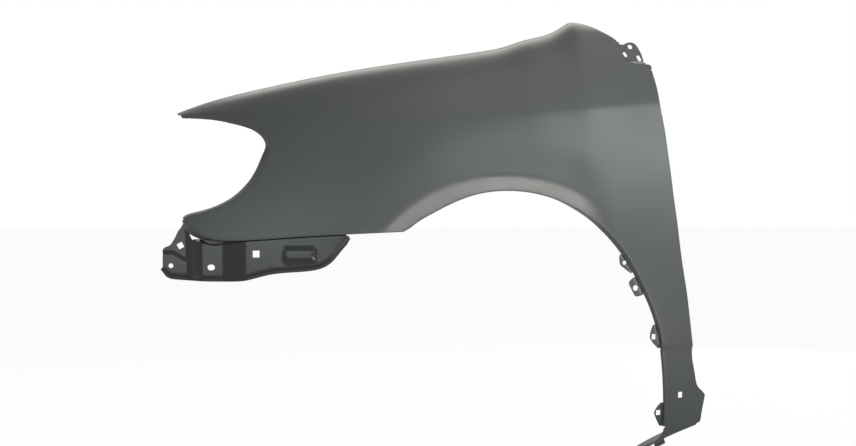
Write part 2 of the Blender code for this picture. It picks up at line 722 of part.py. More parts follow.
def skin_outline():
    """The flat outline of the skin, anticlockwise from the lower front corner."""
    hood = hood_run()
    cowl = skin_flat(COWL_EDGE)
    lamp = skin_flat(LAMP_EDGE)
    return closed_outline(
        [
            Chain("bumper", skin_flat(BUMPER_EDGE), BUMPER_BEND, SKIN_EDGE),
            Chain("arch", arch_run(), ARCH_BEND, None),
            Chain("toe top", np.array(TOE_TOP), 0.0, SKIN_EDGE * 0.6),
            Chain("toe end", np.array(TOE_END), 0.0, SKIN_EDGE),
            Chain("bottom", np.array(BOTTOM_EDGE), SILL_BEND, SKIN_EDGE * 0.8),
            Chain("heel rear", np.array(HEEL_REAR), 0.0, SKIN_EDGE),
            Chain("heel top", np.array(HEEL_TOP), DOOR_BEND, SKIN_EDGE * 0.7),
            Chain("door", skin_flat(DOOR_EDGE), DOOR_BEND, SKIN_EDGE),
            Chain("door corner", skin_flat(DOOR_CORNER), 0.0, SKIN_EDGE * 0.35),
            Chain("cowl tab", skin_flat(COWL_TAB), 0.0, SKIN_EDGE * 0.4),
            Chain("cowl", np.concatenate([cowl, hood[:1]]), COWL_BEND, SKIN_EDGE * 0.8),
            Chain("hood", hood, HOOD_BEND, None),
            Chain("nose", np.array([hood[-1], lamp[0]]), 0.0, SKIN_EDGE),
            Chain("lamp", lamp, LAMP_BEND, SKIN_EDGE * 0.8),
        ]
    )


def skin_creases():
    """Flat lines along which the skin changes direction."""
    creases = []
    front = max(x for x, _ in LAMP_EDGE) + SKIN_EDGE
    rear = min(x for x, _ in DOOR_EDGE) - SKIN_EDGE
    x = stepped(front, rear, SKIN_EDGE * 2)
    creases.append(skin_flat(np.stack([x, crease_height(x)], axis=1)))

    for extra in (0.0, -BAND_WIDTH / 2, BAND_WIDTH * 0.75):
        ring = []
        for angle in stepped(ARCH_TO, ARCH_FROM, SKIN_EDGE * 1.2 / BAND_R):
            x = ARCH_CENTRE[0] + BAND_R * math.cos(angle)
            radius = float(band_radius(x)) + extra
            ring.append(
                (ARCH_CENTRE[0] + radius * math.cos(angle), ARCH_CENTRE[1] + radius * math.sin(angle))
            )
        creases.append(skin_flat(ring))

    for side in (-0.5, 0.5):
        z = SILL_STEP_Z + side * SILL_STEP_HEIGHT
        x = stepped(ARCH_LEG[4][0] + SKIN_EDGE, DOOR_EDGE[0][0] - SKIN_EDGE, SKIN_EDGE)
        creases.append(np.stack([x, np.full_like(x, z)], axis=1))

    for depth in (0.0, TAB_STEP):
        radius = TAB_CORNER_R - depth
        centre = (TAB_FRONT_X + TAB_CORNER_R, TAB_FLOOR_Z + TAB_CORNER_R)
        bend = [
            (centre[0] + radius * math.cos(a), centre[1] + radius * math.sin(a))
            for a in np.radians(np.linspace(180.0, 270.0, 5))
        ]
        top = (TAB_FRONT_X + depth, COWL_TAB[-1][1] + TAB_STEP)
        rear = (COWL_TAB[0][0] + TAB_STEP, TAB_FLOOR_Z + depth)
        middle = ((top[0] + bend[0][0]) / 2, (top[1] + bend[0][1]) / 2)
        half_way = ((rear[0] + bend[-1][0]) / 2, (rear[1] + bend[-1][1]) / 2)
        creases.append(skin_flat([top, middle, *bend, half_way, rear]))
    return creases


def hood_ledge(edge):
    """The fold along the hood line: down, then inboard to a ledge with level bolting pads."""
    rows, lower = fold(edge, [(HOOD_BEND, math.pi / 2, 0.0)])
    x = edge[0][:, 0]
    level = crest_height(x) - HOOD_DROP
    on_pad = np.zeros(len(x), bool)
    for pad in HOOD_PADS:
        here = np.abs(x - pad) < HOOD_PAD_LENGTH / 2 + 1e-4
        level = np.where(here, float(crest_height(pad)) - HOOD_DROP, level)
        on_pad |= here
    drop = (lower[0][:, 2] - level - HOOD_BEND) / -lower[1][:, 2]
    third = HOOD_LEDGE / 3
    ledge, _ = fold(lower, [(0.0, 0.0, drop), (HOOD_BEND, -math.pi / 2, third)] + [(0.0, 0.0, third)] * 2)
    for row in ledge[-4:]:
        row[on_pad, 2] = level[on_pad]
    return rows + ledge[1:]


def clip_tabs(sheet, punches, flange, turns):
    """Clip tabs turned out from the inner edge of the arch flange, parallel to the body side."""
    point, out, normal = flange
    along = run_length(point)
    for tab in CLIP_TABS:
        rear = np.where(point[:, 0] > ARCH_REAR_X, np.abs(point[:, 2] - tab.z), 1.0)
        hole = int(np.argmin(rear))
        first = int(np.argmin(np.abs(along - along[hole] + tab.above)))
        last = int(np.argmin(np.abs(along - along[hole] - tab.below)))
        edge = point[first : last + 1]
        apart = along[first : last + 1] - along[hole]
        across = np.abs(apart) / np.where(apart < 0.0, -apart[0], apart[-1])
        squareness = np.where(apart < 0.0, tab.upper, tab.lower)
        share = CLIP_TAPER_TO + (1.0 - CLIP_TAPER_TO) * (1.0 - across**squareness)
        toward, outward = turned(out[hole], normal[hole], -turns[hole])
        bend = CLIP_BEND * (1.0 - math.sqrt(0.5))
        first_row = edge + toward * bend - outward * (CLIP_BEND - bend)
        second_row = edge + toward * CLIP_BEND - outward * CLIP_BEND
        reach = tab.reach * share[:, None]
        rows = [edge, first_row, second_row]
        rows += [second_row + toward * reach / 2, second_row + toward * reach]
        sheet.strip(rows)
        seat = second_row[hole - first] + toward * tab.reach * tab.hole_at
        punches.add(seat, outward, tab.hole, tab.hole_height, tab.corner, 0.0)


def fender_panel(shift):
    """The outer panel: skin, folded edges, clip tabs and holes."""
    loop, spans = skin_outline()
    sheet, punches = Sheet(), Punches()
    points, triangles = filled(loop, skin_creases(), SKIN_GRID)
    sheet.fill(skin_at(points), triangles)

    def stretch(name, cut_start=0, cut_end=0):
        edge = edge_frame(skin_at, loop, spans[name])
        return part_of(edge, cut_start, len(edge[0]) - cut_end)

    quarter = math.pi / 2
    for name, bend, turn, leg in (
        ("door", DOOR_BEND, quarter, DOOR_FLANGE),
        ("cowl", COWL_BEND, quarter, COWL_FLANGE),
    ):
        edge = stretch(name, 1, 1)
        rows, _ = fold(edge, [(bend, turn, leg * runout(edge))])
        sheet.strip(rows)

    edge = levelled(stretch("bumper"))
    turn, leg = fold_at(BUMPER_FOLD, edge[0][:, 0])
    rows, _ = fold(edge, [(BUMPER_BEND, turn, leg * runout(edge))])
    sheet.strip(rows)

    edge = stretch("lamp", 1, 0)
    turn, leg = fold_at(LAMP_FOLD, run_length(edge[0]))
    rows, _ = fold(edge, [(LAMP_BEND, turn, leg)])
    sheet.strip(rows)

    edge = stretch("arch", 0, 1)
    x, z = edge[0][:, 0] - ARCH_CENTRE[0], edge[0][:, 2] - ARCH_CENTRE[1]
    turn, leg = fold_at(ARCH_FOLD, np.degrees(np.arctan2(z, x)))
    rows, flange = fold(edge, [(ARCH_BEND, turn, leg * runout(edge, both=False))])
    sheet.strip(rows)
    clip_tabs(sheet, punches, flange, turn)

    edge = stretch("bottom", 0, 1)
    rows, inner = fold(edge, [(SILL_BEND, quarter, SILL_FLANGE)])
    sheet.strip(rows)
    hooked = (inner[0][:, 0] > SILL_HOOK_FROM_X) & (inner[0][:, 0] < SILL_HOOK_TO_X)
    hook = tuple(item[hooked] for item in inner)
    rows, _ = fold(hook, [(CLIP_BEND, -quarter, SILL_HOOK)])
    sheet.strip(rows)

    sheet.strip(hood_ledge(stretch("hood", 1, 3)))

    for x, z, width, height, corner, turn in COWL_HOLES:
        centre = skin_at(skin_flat([(x, z)]))[0]
        punches.add(centre, (0.0, -1.0, TAB_PLANE_LEAN), width, height, corner, turn)
    x, z, width, height, corner, turn = FOOT_HOLE
    flat = skin_flat([(x, z)])
    punches.add(skin_at(flat)[0], normals_of(skin_at, flat)[0], width, height, corner, turn)
    for pad in HOOD_PADS:
        centre = hood_pad_point(pad, HOOD_HOLE_OFFSET)
        punches.add(centre, (0.0, 0.0, 1.0), HOOD_HOLE, HOOD_HOLE, 0.5, 0.0, up=(0.0, 1.0, 0.0))

    panel = sheet.finished("fender_panel", SKIN_SHEET, shift)
    punches.cut(panel, shift)
    return panel


def hood_pad_point(pad, offset):
    """A point on the top of a hood ledge pad, an offset behind the pad's middle."""
    x = pad + offset
    y = float(plan_in(x)) + SHOULDER_WIDTH + HOOD_BEND + HOOD_LEDGE / 2
    return Vector((x, y, float(crest_height(pad)) - HOOD_DROP))


def ledge_points():
    """The upper edge of the bracket: against the panel's lower flange, lower along the steps."""
    x = np.linspace(BRACKET_REAR_X, BRACKET_LEDGE_END_X, 45)
    dip = LEDGE_DIP * smooth((LEDGE_DIP_X - x) / LEDGE_DIP_RUN)
    return np.stack([x, bumper_height(x) - WELD_GAP - dip], axis=1)


def bumper_bracket(shift):
    """The bumper side bracket: stepped faces, a welding ledge above and a joggled lip below."""
    ledge = ledge_points()
    lip_height = BRACKET_BEND * 2 * math.sin(LIP_TURN) + LIP
    lower = np.array(BRACKET_BOTTOM)
    lower[-1] = ledge[0]
    wing = np.concatenate([ledge[-1:], WING])
    loop, spans = closed_outline(
        [
            Chain("lip", lower, lip_height, BRACKET_EDGE),
            Chain("ledge", ledge, BRACKET_BEND, BRACKET_EDGE),
            Chain("wing", wing, 0.0, BRACKET_EDGE * 0.8),
            Chain("front", np.array(BRACKET_FRONT), 0.0, BRACKET_EDGE * 1.5),
        ]
    )
    creases = []
    for start, _ in STEP_SLOPES:
        for side in (-0.6, 0.6):
            x = start + side * STEP_SOFTNESS
            z = np.linspace(WING_STEP_Z - BRACKET_UPSTAND * 1.4, WING_STEP_Z + PAD_EDGE, 4)
            creases.append(np.stack([np.full_like(z, x), z], axis=1))
    for side in (-1.0, 1.0):
        for edge in (0.0, PAD_EDGE):
            x = PAD_X + side * (PAD_HALF_LENGTH - edge)
            z = PAD_Z + np.linspace(-0.9, 0.9, 5) * PAD_HALF_HEIGHT
            creases.append(np.stack([np.full_like(z, x), z], axis=1))

    sheet, punches = Sheet(), Punches()
    points, triangles = filled(loop, creases, BRACKET_GRID)
    sheet.fill(bracket_at(points), triangles)

    edge = edge_frame(bracket_at, loop, spans["lip"])
    edge = part_of(edge, 0, len(edge[0]) - 1)
    rows, _ = fold(
        edge,
        [(BRACKET_BEND, LIP_TURN, LIP_STEP), (BRACKET_BEND, -LIP_TURN, LIP * runout(edge))],
    )
    sheet.strip(rows)

    edge = edge_frame(bracket_at, loop, spans["ledge"])
    edge = part_of(edge, 2, len(edge[0]) - 1)
    upstand = BRACKET_UPSTAND * runout(edge, both=False)
    rows, _ = fold(
        edge,
        [(BRACKET_BEND, math.pi / 2, BRACKET_LEDGE), (BRACKET_BEND, -math.pi / 2, upstand)],
    )
    sheet.strip(rows)

    for x, z, width, height, corner, turn in BRACKET_HOLES:
        flat = np.array([(x, z)])
        normal = normals_of(bracket_at, flat)[0]
        punches.add(bracket_at(flat)[0], normal, width, height, corner, turn)

    bracket = sheet.finished("bumper_side_bracket", BRACKET_SHEET, shift)
    punches.cut(bracket, shift)
    return bracket


def main():
    for item in list(bpy.data.objects):
        bpy.data.objects.remove(item, do_unlink=True)
    seat = hood_pad_point(HOOD_PADS[SEAT_PAD], -HOOD_HOLE_OFFSET)
    seat.z -= SKIN_SHEET
    panel = fender_panel(-seat)
    panel.data.materials.append(material("e_coat_grey", (0.10, 0.105, 0.105), 0.42, 0.0))
    bracket = bumper_bracket(-seat)
    bracket.data.materials.append(material("e_coat_black", (0.030, 0.031, 0.032), 0.30, 0.0))


main()
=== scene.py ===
"""Looks of the left front fender and its bumper side bracket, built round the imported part.

The shapes are those of the part at a finer pitch, in the same body frame: x runs rearward from
the wheel's centre, y inboard from the widest line of the body side, and z up. They are then moved
so that the origin lies on the seat of one hood ledge pad, as in the part. All sizes are metres.
"""

import math
from collections import namedtuple

import bmesh
import bpy
import numpy as np
from mathutils import Matrix, Vector
from mathutils.geometry import delaunay_2d_cdt


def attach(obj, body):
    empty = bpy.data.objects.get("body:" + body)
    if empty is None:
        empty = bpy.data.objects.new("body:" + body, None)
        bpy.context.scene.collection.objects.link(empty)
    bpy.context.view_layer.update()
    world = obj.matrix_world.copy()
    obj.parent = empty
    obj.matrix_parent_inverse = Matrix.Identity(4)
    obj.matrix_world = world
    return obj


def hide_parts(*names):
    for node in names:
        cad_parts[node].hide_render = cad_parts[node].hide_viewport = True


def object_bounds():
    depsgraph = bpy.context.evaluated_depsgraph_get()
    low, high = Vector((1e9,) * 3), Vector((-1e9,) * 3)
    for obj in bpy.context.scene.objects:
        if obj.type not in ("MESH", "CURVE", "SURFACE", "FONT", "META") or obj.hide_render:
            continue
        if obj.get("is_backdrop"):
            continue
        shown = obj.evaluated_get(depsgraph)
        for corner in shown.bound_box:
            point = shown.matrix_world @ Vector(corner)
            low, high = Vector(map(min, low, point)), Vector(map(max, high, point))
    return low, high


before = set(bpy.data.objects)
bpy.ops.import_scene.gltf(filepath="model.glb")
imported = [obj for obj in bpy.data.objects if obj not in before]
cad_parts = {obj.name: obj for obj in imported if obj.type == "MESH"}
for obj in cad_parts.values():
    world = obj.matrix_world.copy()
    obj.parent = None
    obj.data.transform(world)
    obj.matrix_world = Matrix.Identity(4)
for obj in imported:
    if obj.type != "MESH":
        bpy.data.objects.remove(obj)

QUARTER = math.pi / 2

# Camera: where it aims, how far off and how much it is turned, as in the photograph
AIM = (0.1323, -0.0853, -0.2775)
CAMERA_TURN = math.radians(20.0)
CAMERA_DISTANCE = 3.5
CAMERA_LENS = 77.47
CAMERA_SENSOR = 36.0

# Lamps: bearing from the camera to its right and height above level in degrees, distance and size
# in metres, and power in watts. The one that isn't aimed at the part lies flat and shines upward.
Lamp = namedtuple("Lamp", "name bearing height distance width tall power colour aimed")
LAMPS = (
    Lamp("behind_above", 170.0, 62.0, 2.3, 2.6, 1.3, 40.0, (1.0, 0.99, 0.89), True),
    Lamp("side_right", 60.0, 15.0, 2.3, 1.1, 0.6, 18.0, (0.90, 0.96, 1.0), True),
    Lamp("top_right", 60.0, 50.0, 2.4, 1.6, 1.0, 5.0, (1.0, 0.98, 0.88), True),
    Lamp("floor_tray", 43.0, -17.0, 1.40, 0.8, 0.7, 32.0, (1.0, 0.98, 0.92), False),
    Lamp("front", -4.0, 2.5, 3.7, 2.6, 0.9, 19.0, (0.88, 0.95, 1.0), True),
    Lamp("inner_side", 145.0, 4.0, 3.2, 1.8, 1.8, 45.0, (1.0, 1.0, 0.98), True),
)
SURROUND_COLOUR = (0.93, 0.98, 1.0)
SURROUND_LEVEL = 0.37
FLOOR_SIZE = 400.0
FLOOR_GAP = 0.0005
FLOOR_WHITE = 0.95
FLOOR_COLOUR = (0.80, 0.80, 0.80, 1.0)
WHITE = (1.0, 1.0, 1.0, 1.0)

# Coats: colour, colour of the slow patches, roughness, peel and change of gloss
COAT_IOR = 1.42
GREY_COAT = ((0.042, 0.046, 0.046), (0.049, 0.053, 0.052), 0.34, 0.25, 0.02)
BLACK_COAT = ((0.008, 0.009, 0.009), (0.012, 0.013, 0.013), 0.20, 0.20, 0.04)

# Textures of the coats: scale, detail and roughness of each noise, and from and to what it ranges
CLOUD_NOISE, CLOUD_RANGE = (3.2, 3.0, 0.5), (0.35, 0.65, 0.0, 0.8)
DUST_NOISE, DUST_RANGE = (900.0, 2.0, 0.6), (0.62, 0.75, 0.0, 0.25)
GLOSS_NOISE = (7.0, 2.0, 0.5)
WIPE_NOISE = (1.0, 4.0, 0.5)
WIPE_STRETCH = (18.0, 60.0, 160.0)
WIPE_GLOSS = 0.012
GLOSS_FROM = (0.3, 0.7)
PEEL_NOISE = (130.0, 2.0, 0.5)
PEEL_HEIGHT = 0.00002

# Sheet
SKIN_SHEET = 0.0008
BRACKET_SHEET = 0.0012
WELD_GAP = 0.0004

# Body side in plan: it curves inboard ahead of the wheel and a little behind it
PLAN_START_X = -0.075
PLAN_RUN = 0.540
PLAN_IN = 0.125
PLAN_POWER = 2.3
DOOR_END_CROWN = 0.05

# Shoulder: a superellipse from the upright side to the level hood line
SHOULDER_Z = 0.150
SHOULDER_WIDTH = 0.108
SHOULDER_POWER = 2.6
SILL_CROWN = 0.15
CREST = (
    (-0.600, 0.4635), (-0.543, 0.4865), (-0.443, 0.5148), (-0.325, 0.5418), (-0.200, 0.5650),
    (-0.073, 0.5858), (0.000, 0.5980), (0.040, 0.6068), (0.080, 0.6203), (0.120, 0.6305),
    (0.148, 0.6405), (0.166, 0.6508), (0.182, 0.6598), (0.200, 0.6625), (0.360, 0.6630),
)

# Character line: a soft ridge from the headlamp to the door, fainter toward the front
CREASE_Z = 0.4664
CREASE_RISE = 0.095
CREASE_HEIGHT = 0.0055
CREASE_FRONT_SHARE = 0.30
CREASE_FAINT_X, CREASE_FADE_RUN = -0.350, 0.550
CREASE_ABOVE, CREASE_BELOW = 0.050, 0.060
CREASE_SOFTNESS = 0.006

# Wheel arch: opening, the band tucked in round it and the shallow hollow above that
ARCH_CENTRE = (0.0184, 0.0240)
ARCH_R = 0.2990
ARCH_FROM, ARCH_TO = math.radians(121.5), math.radians(20.5)
ARCH_REAR_X = 0.200
BAND_WIDTH = 0.0307
BAND_R = ARCH_R + BAND_WIDTH
BAND_TOE_X = 0.030
BAND_TOE_RUN = 0.220
BAND_TOE_EXTRA = 0.0082
TUCK = 0.009
TUCK_SOFTNESS = 0.003
TUCK_FADE_X = 0.150
TUCK_FADE_RUN = 0.090
HOLLOW = 0.004
HOLLOW_WIDTH = 0.085
OVER_WHEEL_RUN = 0.10
ARCH_POINTS = 7

# Sill zone of the foot, set in behind the sill moulding
SILL_STEP_Z = 0.016
SILL_STEP_HEIGHT = 0.016
SILL_STEP_IN = 0.003
SILL_FROM_X, SILL_FROM_RUN = 0.20, 0.05

# Cowl tab: a flat plate set in from the skin at the upper rear corner
TAB_FRONT_X = 0.2715
TAB_FLOOR_Z = 0.5785
TAB_CORNER_R = 0.016
TAB_STEP = 0.0040
TAB_PLANE_Y = 0.0535
TAB_PLANE_LEAN = 0.45

# Outline of the skin, as x and z of the points that each edge passes through
BUMPER_EDGE = (
    (-0.5950, 0.2688), (-0.5880, 0.2590), (-0.5775, 0.2478), (-0.5650, 0.2392), (-0.5490, 0.2328),
    (-0.5300, 0.2296), (-0.4965, 0.2290), (-0.4585, 0.2312), (-0.3910, 0.2362), (-0.3000, 0.2410),
    (-0.1940, 0.2455),
)
ARCH_TOE = ((-0.1940, 0.2455), (-0.1824, 0.2519), (-0.1706, 0.2603))
ARCH_LEG = (
    (0.3015, 0.1298), (0.3180, 0.0950), (0.3300, 0.0640), (0.3385, 0.0300), (0.3425, 0.0000),
    (0.3475, -0.0550), (0.3505, -0.1100), (0.3505, -0.1430),
)
TOE_TOP = (
    (0.3505, -0.1430), (0.3478, -0.1525), (0.3420, -0.1600), (0.3334, -0.1670), (0.3156, -0.1740),
    (0.2994, -0.1800),
)
TOE_END = ((0.2994, -0.1800), (0.2994, -0.1900))
BOTTOM_EDGE = ((0.2994, -0.1900), (0.3366, -0.1720), (0.3900, -0.1516), (0.4250, -0.1402))
HEEL_REAR = (
    (0.4250, -0.1402), (0.4302, -0.1355), (0.4345, -0.1184), (0.4386, -0.0945), (0.4414, -0.0760),
)
HEEL_TOP = (
    (0.4414, -0.0760), (0.4362, -0.0704), (0.4264, -0.0615), (0.4206, -0.0450), (0.4155, -0.0215),
    (0.4120, -0.0050), (0.4112, 0.0120),
)
DOOR_EDGE = (
    (0.4112, 0.0120), (0.4024, 0.0742), (0.3957, 0.1218), (0.3873, 0.1693), (0.3800, 0.2168),
    (0.3740, 0.2642), (0.3673, 0.3115), (0.3618, 0.3589), (0.3561, 0.4062), (0.3504, 0.4538),
    (0.3437, 0.4953), (0.3417, 0.5254), (0.3380, 0.5495), (0.3347, 0.5678),
)
DOOR_CORNER = (
    (0.3347, 0.5678), (0.3340, 0.5728), (0.3318, 0.5757), (0.3270, 0.5767), (0.3226, 0.5768),
)
COWL_TAB = (
    (0.3226, 0.5768), (0.3222, 0.5895), (0.3208, 0.5996), (0.3172, 0.6096), (0.3115, 0.6192),
    (0.3060, 0.6220), (0.2999, 0.6221), (0.2922, 0.6202), (0.2859, 0.6172), (0.2780, 0.6178),
    (0.2718, 0.6203),
)
COWL_EDGE = (
    (0.2718, 0.6203), (0.2657, 0.6264), (0.2564, 0.6335), (0.2416, 0.6420), (0.2275, 0.6495),
    (0.2129, 0.6555), (0.2010, 0.6588), (0.1930, 0.6602),
)
HOOD_FRONT_X = -0.5845
HOOD_REAR_X = 0.1820
LAMP_EDGE = (
    (-0.5845, 0.4650), (-0.5670, 0.4665), (-0.5500, 0.4672), (-0.5340, 0.4668), (-0.5180, 0.4646),
    (-0.4860, 0.4555), (-0.4602, 0.4429), (-0.4476, 0.4315), (-0.4416, 0.4201), (-0.4399, 0.4051),
    (-0.4452, 0.3901), (-0.4532, 0.3715), (-0.4645, 0.3492), (-0.4808, 0.3288), (-0.5021, 0.3102),
    (-0.5265, 0.2955), (-0.5539, 0.2843), (-0.5700, 0.2797), (-0.5812, 0.2769), (-0.5893, 0.2736),
    (-0.5950, 0.2688),
)

# Folds along the edges of the skin
DOOR_BEND, DOOR_FLANGE = 0.0025, 0.0080
COWL_BEND, COWL_FLANGE = 0.0020, 0.0060
SILL_BEND, SILL_FLANGE = 0.0040, 0.0300
SILL_HOOK_FROM_X, SILL_HOOK_TO_X, SILL_HOOK = 0.3400, 0.3690, 0.0220
HOOD_BEND, HOOD_DROP, HOOD_LEDGE = 0.0030, 0.0140, 0.0240
HOOD_PADS = (-0.4700, -0.2600, -0.0300, 0.1250)
HOOD_PAD_LENGTH = 0.0400
HOOD_HOLE = 0.0090
HOOD_HOLE_OFFSET = 0.0080
SEAT_PAD = 1
FLANGE_RUNOUT = 0.0150
FLANGE_START = 0.45

# Bumper fold: place along the car, turn of the fold and width of the flange
BUMPER_BEND = 0.0020
BUMPER_FOLD = (
    (-0.597, 50.0, 0.0120), (-0.578, 46.0, 0.0150), (-0.564, 58.0, 0.0140), (-0.546, 90.0, 0.0150),
    (-0.190, 90.0, 0.0150),
)

# Arch fold: angle round the arch from straight behind, turn of the fold and width of the flange
ARCH_BEND = 0.0025
ARCH_FOLD = (
    (-28.0, 78.0, 0.0070), (-23.0, 86.0, 0.0040), (-12.0, 88.0, 0.0035), (-5.0, 85.0, 0.0045),
    (-1.0, 82.0, 0.0055), (4.0, 78.0, 0.0065), (8.0, 74.0, 0.0085), (16.0, 72.0, 0.0080),
    (21.5, 68.0, 0.0090), (34.0, 65.0, 0.0105), (41.0, 64.0, 0.0108), (49.5, 63.5, 0.0118),
    (56.0, 67.0, 0.0108), (62.0, 71.0, 0.0095), (69.0, 82.0, 0.0080), (76.0, 91.0, 0.0070),
    (140.0, 91.0, 0.0070),
)

# Headlamp fold: distance from the nose, turn of the fold and width of the flange
LAMP_BEND = 0.0020
LAMP_FOLD = (
    (0.000, 88.0, 0.0040), (0.025, 85.0, 0.0080), (0.050, 75.0, 0.0105), (0.072, 67.0, 0.0120),
    (0.105, 63.0, 0.0135), (0.150, 67.0, 0.0135), (0.175, 60.0, 0.0140), (0.215, 49.0, 0.0150),
    (0.245, 47.0, 0.0150), (0.270, 47.0, 0.0150), (0.300, 52.0, 0.0140), (0.340, 62.0, 0.0125),
    (0.380, 64.0, 0.0110),
)

# Clip tabs along the rear of the arch: the height of the hole, how far the tab runs above and
# below it along the edge, the tab's reach, how square its upper and lower halves are, and where
# along the reach the hole is, with its size
ClipTab = namedtuple("ClipTab", "z above below reach upper lower hole_at hole hole_height corner")
CLIP_TABS = (
    ClipTab(0.1857, 0.0180, 0.0250, 0.0110, 1.8, 1.1, 0.15, 0.0080, 0.0080, 0.5),
    ClipTab(0.1382, 0.0225, 0.0190, 0.0155, 9.0, 9.0, 0.43, 0.0110, 0.0110, 0.5),
    ClipTab(0.0400, 0.0230, 0.0270, 0.0160, 1.5, 1.5, 0.48, 0.0085, 0.0105, 0.2),
    ClipTab(-0.1130, 0.0195, 0.0310, 0.0165, 1.5, 1.3, 0.45, 0.0095, 0.0100, 0.1),
)
CLIP_BEND = 0.0020
CLIP_TAPER_TO = 0.12

# Holes in the cowl tab and the foot: x, z, width, height, corner share and turn
COWL_HOLES = (
    (0.2992, 0.6128, 0.0095, 0.0095, 0.35, 0.0),
    (0.2848, 0.5965, 0.0070, 0.0115, 0.50, 25.0),
    (0.3138, 0.5895, 0.0076, 0.0128, 0.30, 15.0),
)
FOOT_HOLE = (0.3845, -0.0780, 0.0090, 0.0115, 0.10, 0.0)

# Bumper side bracket, stepped inboard toward the front
BRACKET_INSET = 0.0100
STEP_SLOPES = ((-0.4900, 1.050), (-0.5185, -0.794), (-0.5615, 1.614), (-0.5754, -1.660))
STEP_SOFTNESS = 0.0050
BRACKET_BEND = 0.0020
BRACKET_LEDGE = 0.0120
BRACKET_UPSTAND = 0.0240
LEDGE_DIP = 0.0090
LEDGE_DIP_X, LEDGE_DIP_RUN = -0.4850, 0.0600
LEDGE_POINTS = 45
LIP_STEP, LIP = 0.0020, 0.0055
LIP_TURN = math.radians(80.0)
BRACKET_BOTTOM = (
    (-0.6185, 0.1640), (-0.6130, 0.1598), (-0.6065, 0.1578), (-0.5957, 0.1565), (-0.5748, 0.1548),
    (-0.5570, 0.1538), (-0.5151, 0.1533), (-0.4872, 0.1552), (-0.4667, 0.1601), (-0.4457, 0.1657),
    (-0.4140, 0.1699), (-0.3819, 0.1721), (-0.3604, 0.1750), (-0.3386, 0.1835), (-0.3270, 0.1935),
    (-0.3160, 0.2073), (-0.3040, 0.2213), (-0.2930, 0.2325), (-0.2835, 0.2402),
)
BRACKET_REAR_X, BRACKET_LEDGE_END_X = -0.2835, -0.5740
WING = (
    (-0.5765, 0.2440), (-0.5760, 0.2560), (-0.5795, 0.2635), (-0.5840, 0.2635), (-0.5880, 0.2570),
    (-0.5943, 0.2482), (-0.5997, 0.2370), (-0.6060, 0.2258), (-0.6114, 0.2197), (-0.6195, 0.2165),
    (-0.6230, 0.2113),
)
BRACKET_FRONT = ((-0.6230, 0.2113), (-0.6235, 0.1950), (-0.6228, 0.1790), (-0.6185, 0.1640))
WING_STEP_Z, WING_STEP_FALL, WING_STEP_X = 0.2055, 0.64, -0.6040
WING_STEP_IN, WING_STEP_HEIGHT = 0.0025, 0.0035
WING_RUN = 0.004
PAD_X, PAD_Z, PAD_HALF_LENGTH, PAD_HALF_HEIGHT = -0.3908, 0.2035, 0.0300, 0.0150
PAD_OUT, PAD_EDGE = 0.0040, 0.0060
BRACKET_HOLES = (
    (-0.4665, 0.2047, 0.0125, 0.0125, 0.08, 0.0),
    (-0.5408, 0.1795, 0.0135, 0.0105, 0.50, 0.0),
    (-0.6085, 0.1825, 0.0088, 0.0088, 0.50, 0.0),
    (-0.5907, 0.2200, 0.0105, 0.0105, 0.08, 30.0),
)

# Fineness of the mesh
SKIN_GRID = 0.0080
SKIN_EDGE = 0.0045
BRACKET_GRID = 0.0045
BRACKET_EDGE = 0.0030
CLIP_STEP = 0.0020
ARC_STEP = math.radians(16.0)
HOLE_SIDES_PER_CORNER = 8
SHARP_ANGLE = math.radians(40.0)
BATCH = 800
CORNER_ANGLE = math.radians(20.0)
CORNER_STEP = 0.0010
CORNER_REACH = 0.0200
PUNCH_REACH = 0.0060
SECTION_HALVINGS = 45

# Grid points are left out nearer to the outline or to a crease than these shares of the grid
LOOP_CLEARANCE, CREASE_CLEARANCE = 0.55, 0.45

# Creases along the arch band: shares of the band's width outside its outer edge, and their step
BAND_CREASES = (0.0, -0.5, 0.75)
BAND_CREASE_STEP = 1.2 * SKIN_EDGE
TAB_CREASE_POINTS = 5

# Creases of the bracket: to each side of a step, how far down, and the points along each
STEP_CREASE_SIDE = 0.6 * STEP_SOFTNESS
STEP_CREASE_DOWN = 1.4 * BRACKET_UPSTAND
STEP_CREASE_POINTS = 4
PAD_CREASE_SHARE, PAD_CREASE_POINTS = 0.9, 5

# Least distances and shares that count as more than rounding
NORMAL_STEP = 1e-5
MERGE_DISTANCE = 1e-5
RING_MERGE_DISTANCE = 1e-6
FILL_TOLERANCE = 1e-7
PARALLEL_BELOW = 1e-12
CROSSING_SLACK = 1e-9
PAD_SLACK = 1e-4

Chain = namedtuple("Chain", "name points inset step")


def smooth(t):
    """A ramp from 0 to 1 with level ends."""
    t = np.clip(t, 0.0, 1.0)
    return t * t * (3.0 - 2.0 * t)


def soft_ramp(t, softness):
    """t where it is positive and 0 where it is negative, with a rounded corner."""
    return 0.5 * (t + np.sqrt(t * t + softness * softness))


def unit(vectors):
    """Each vector at a length of 1."""
    return vectors / np.linalg.norm(vectors, axis=-1, keepdims=True)


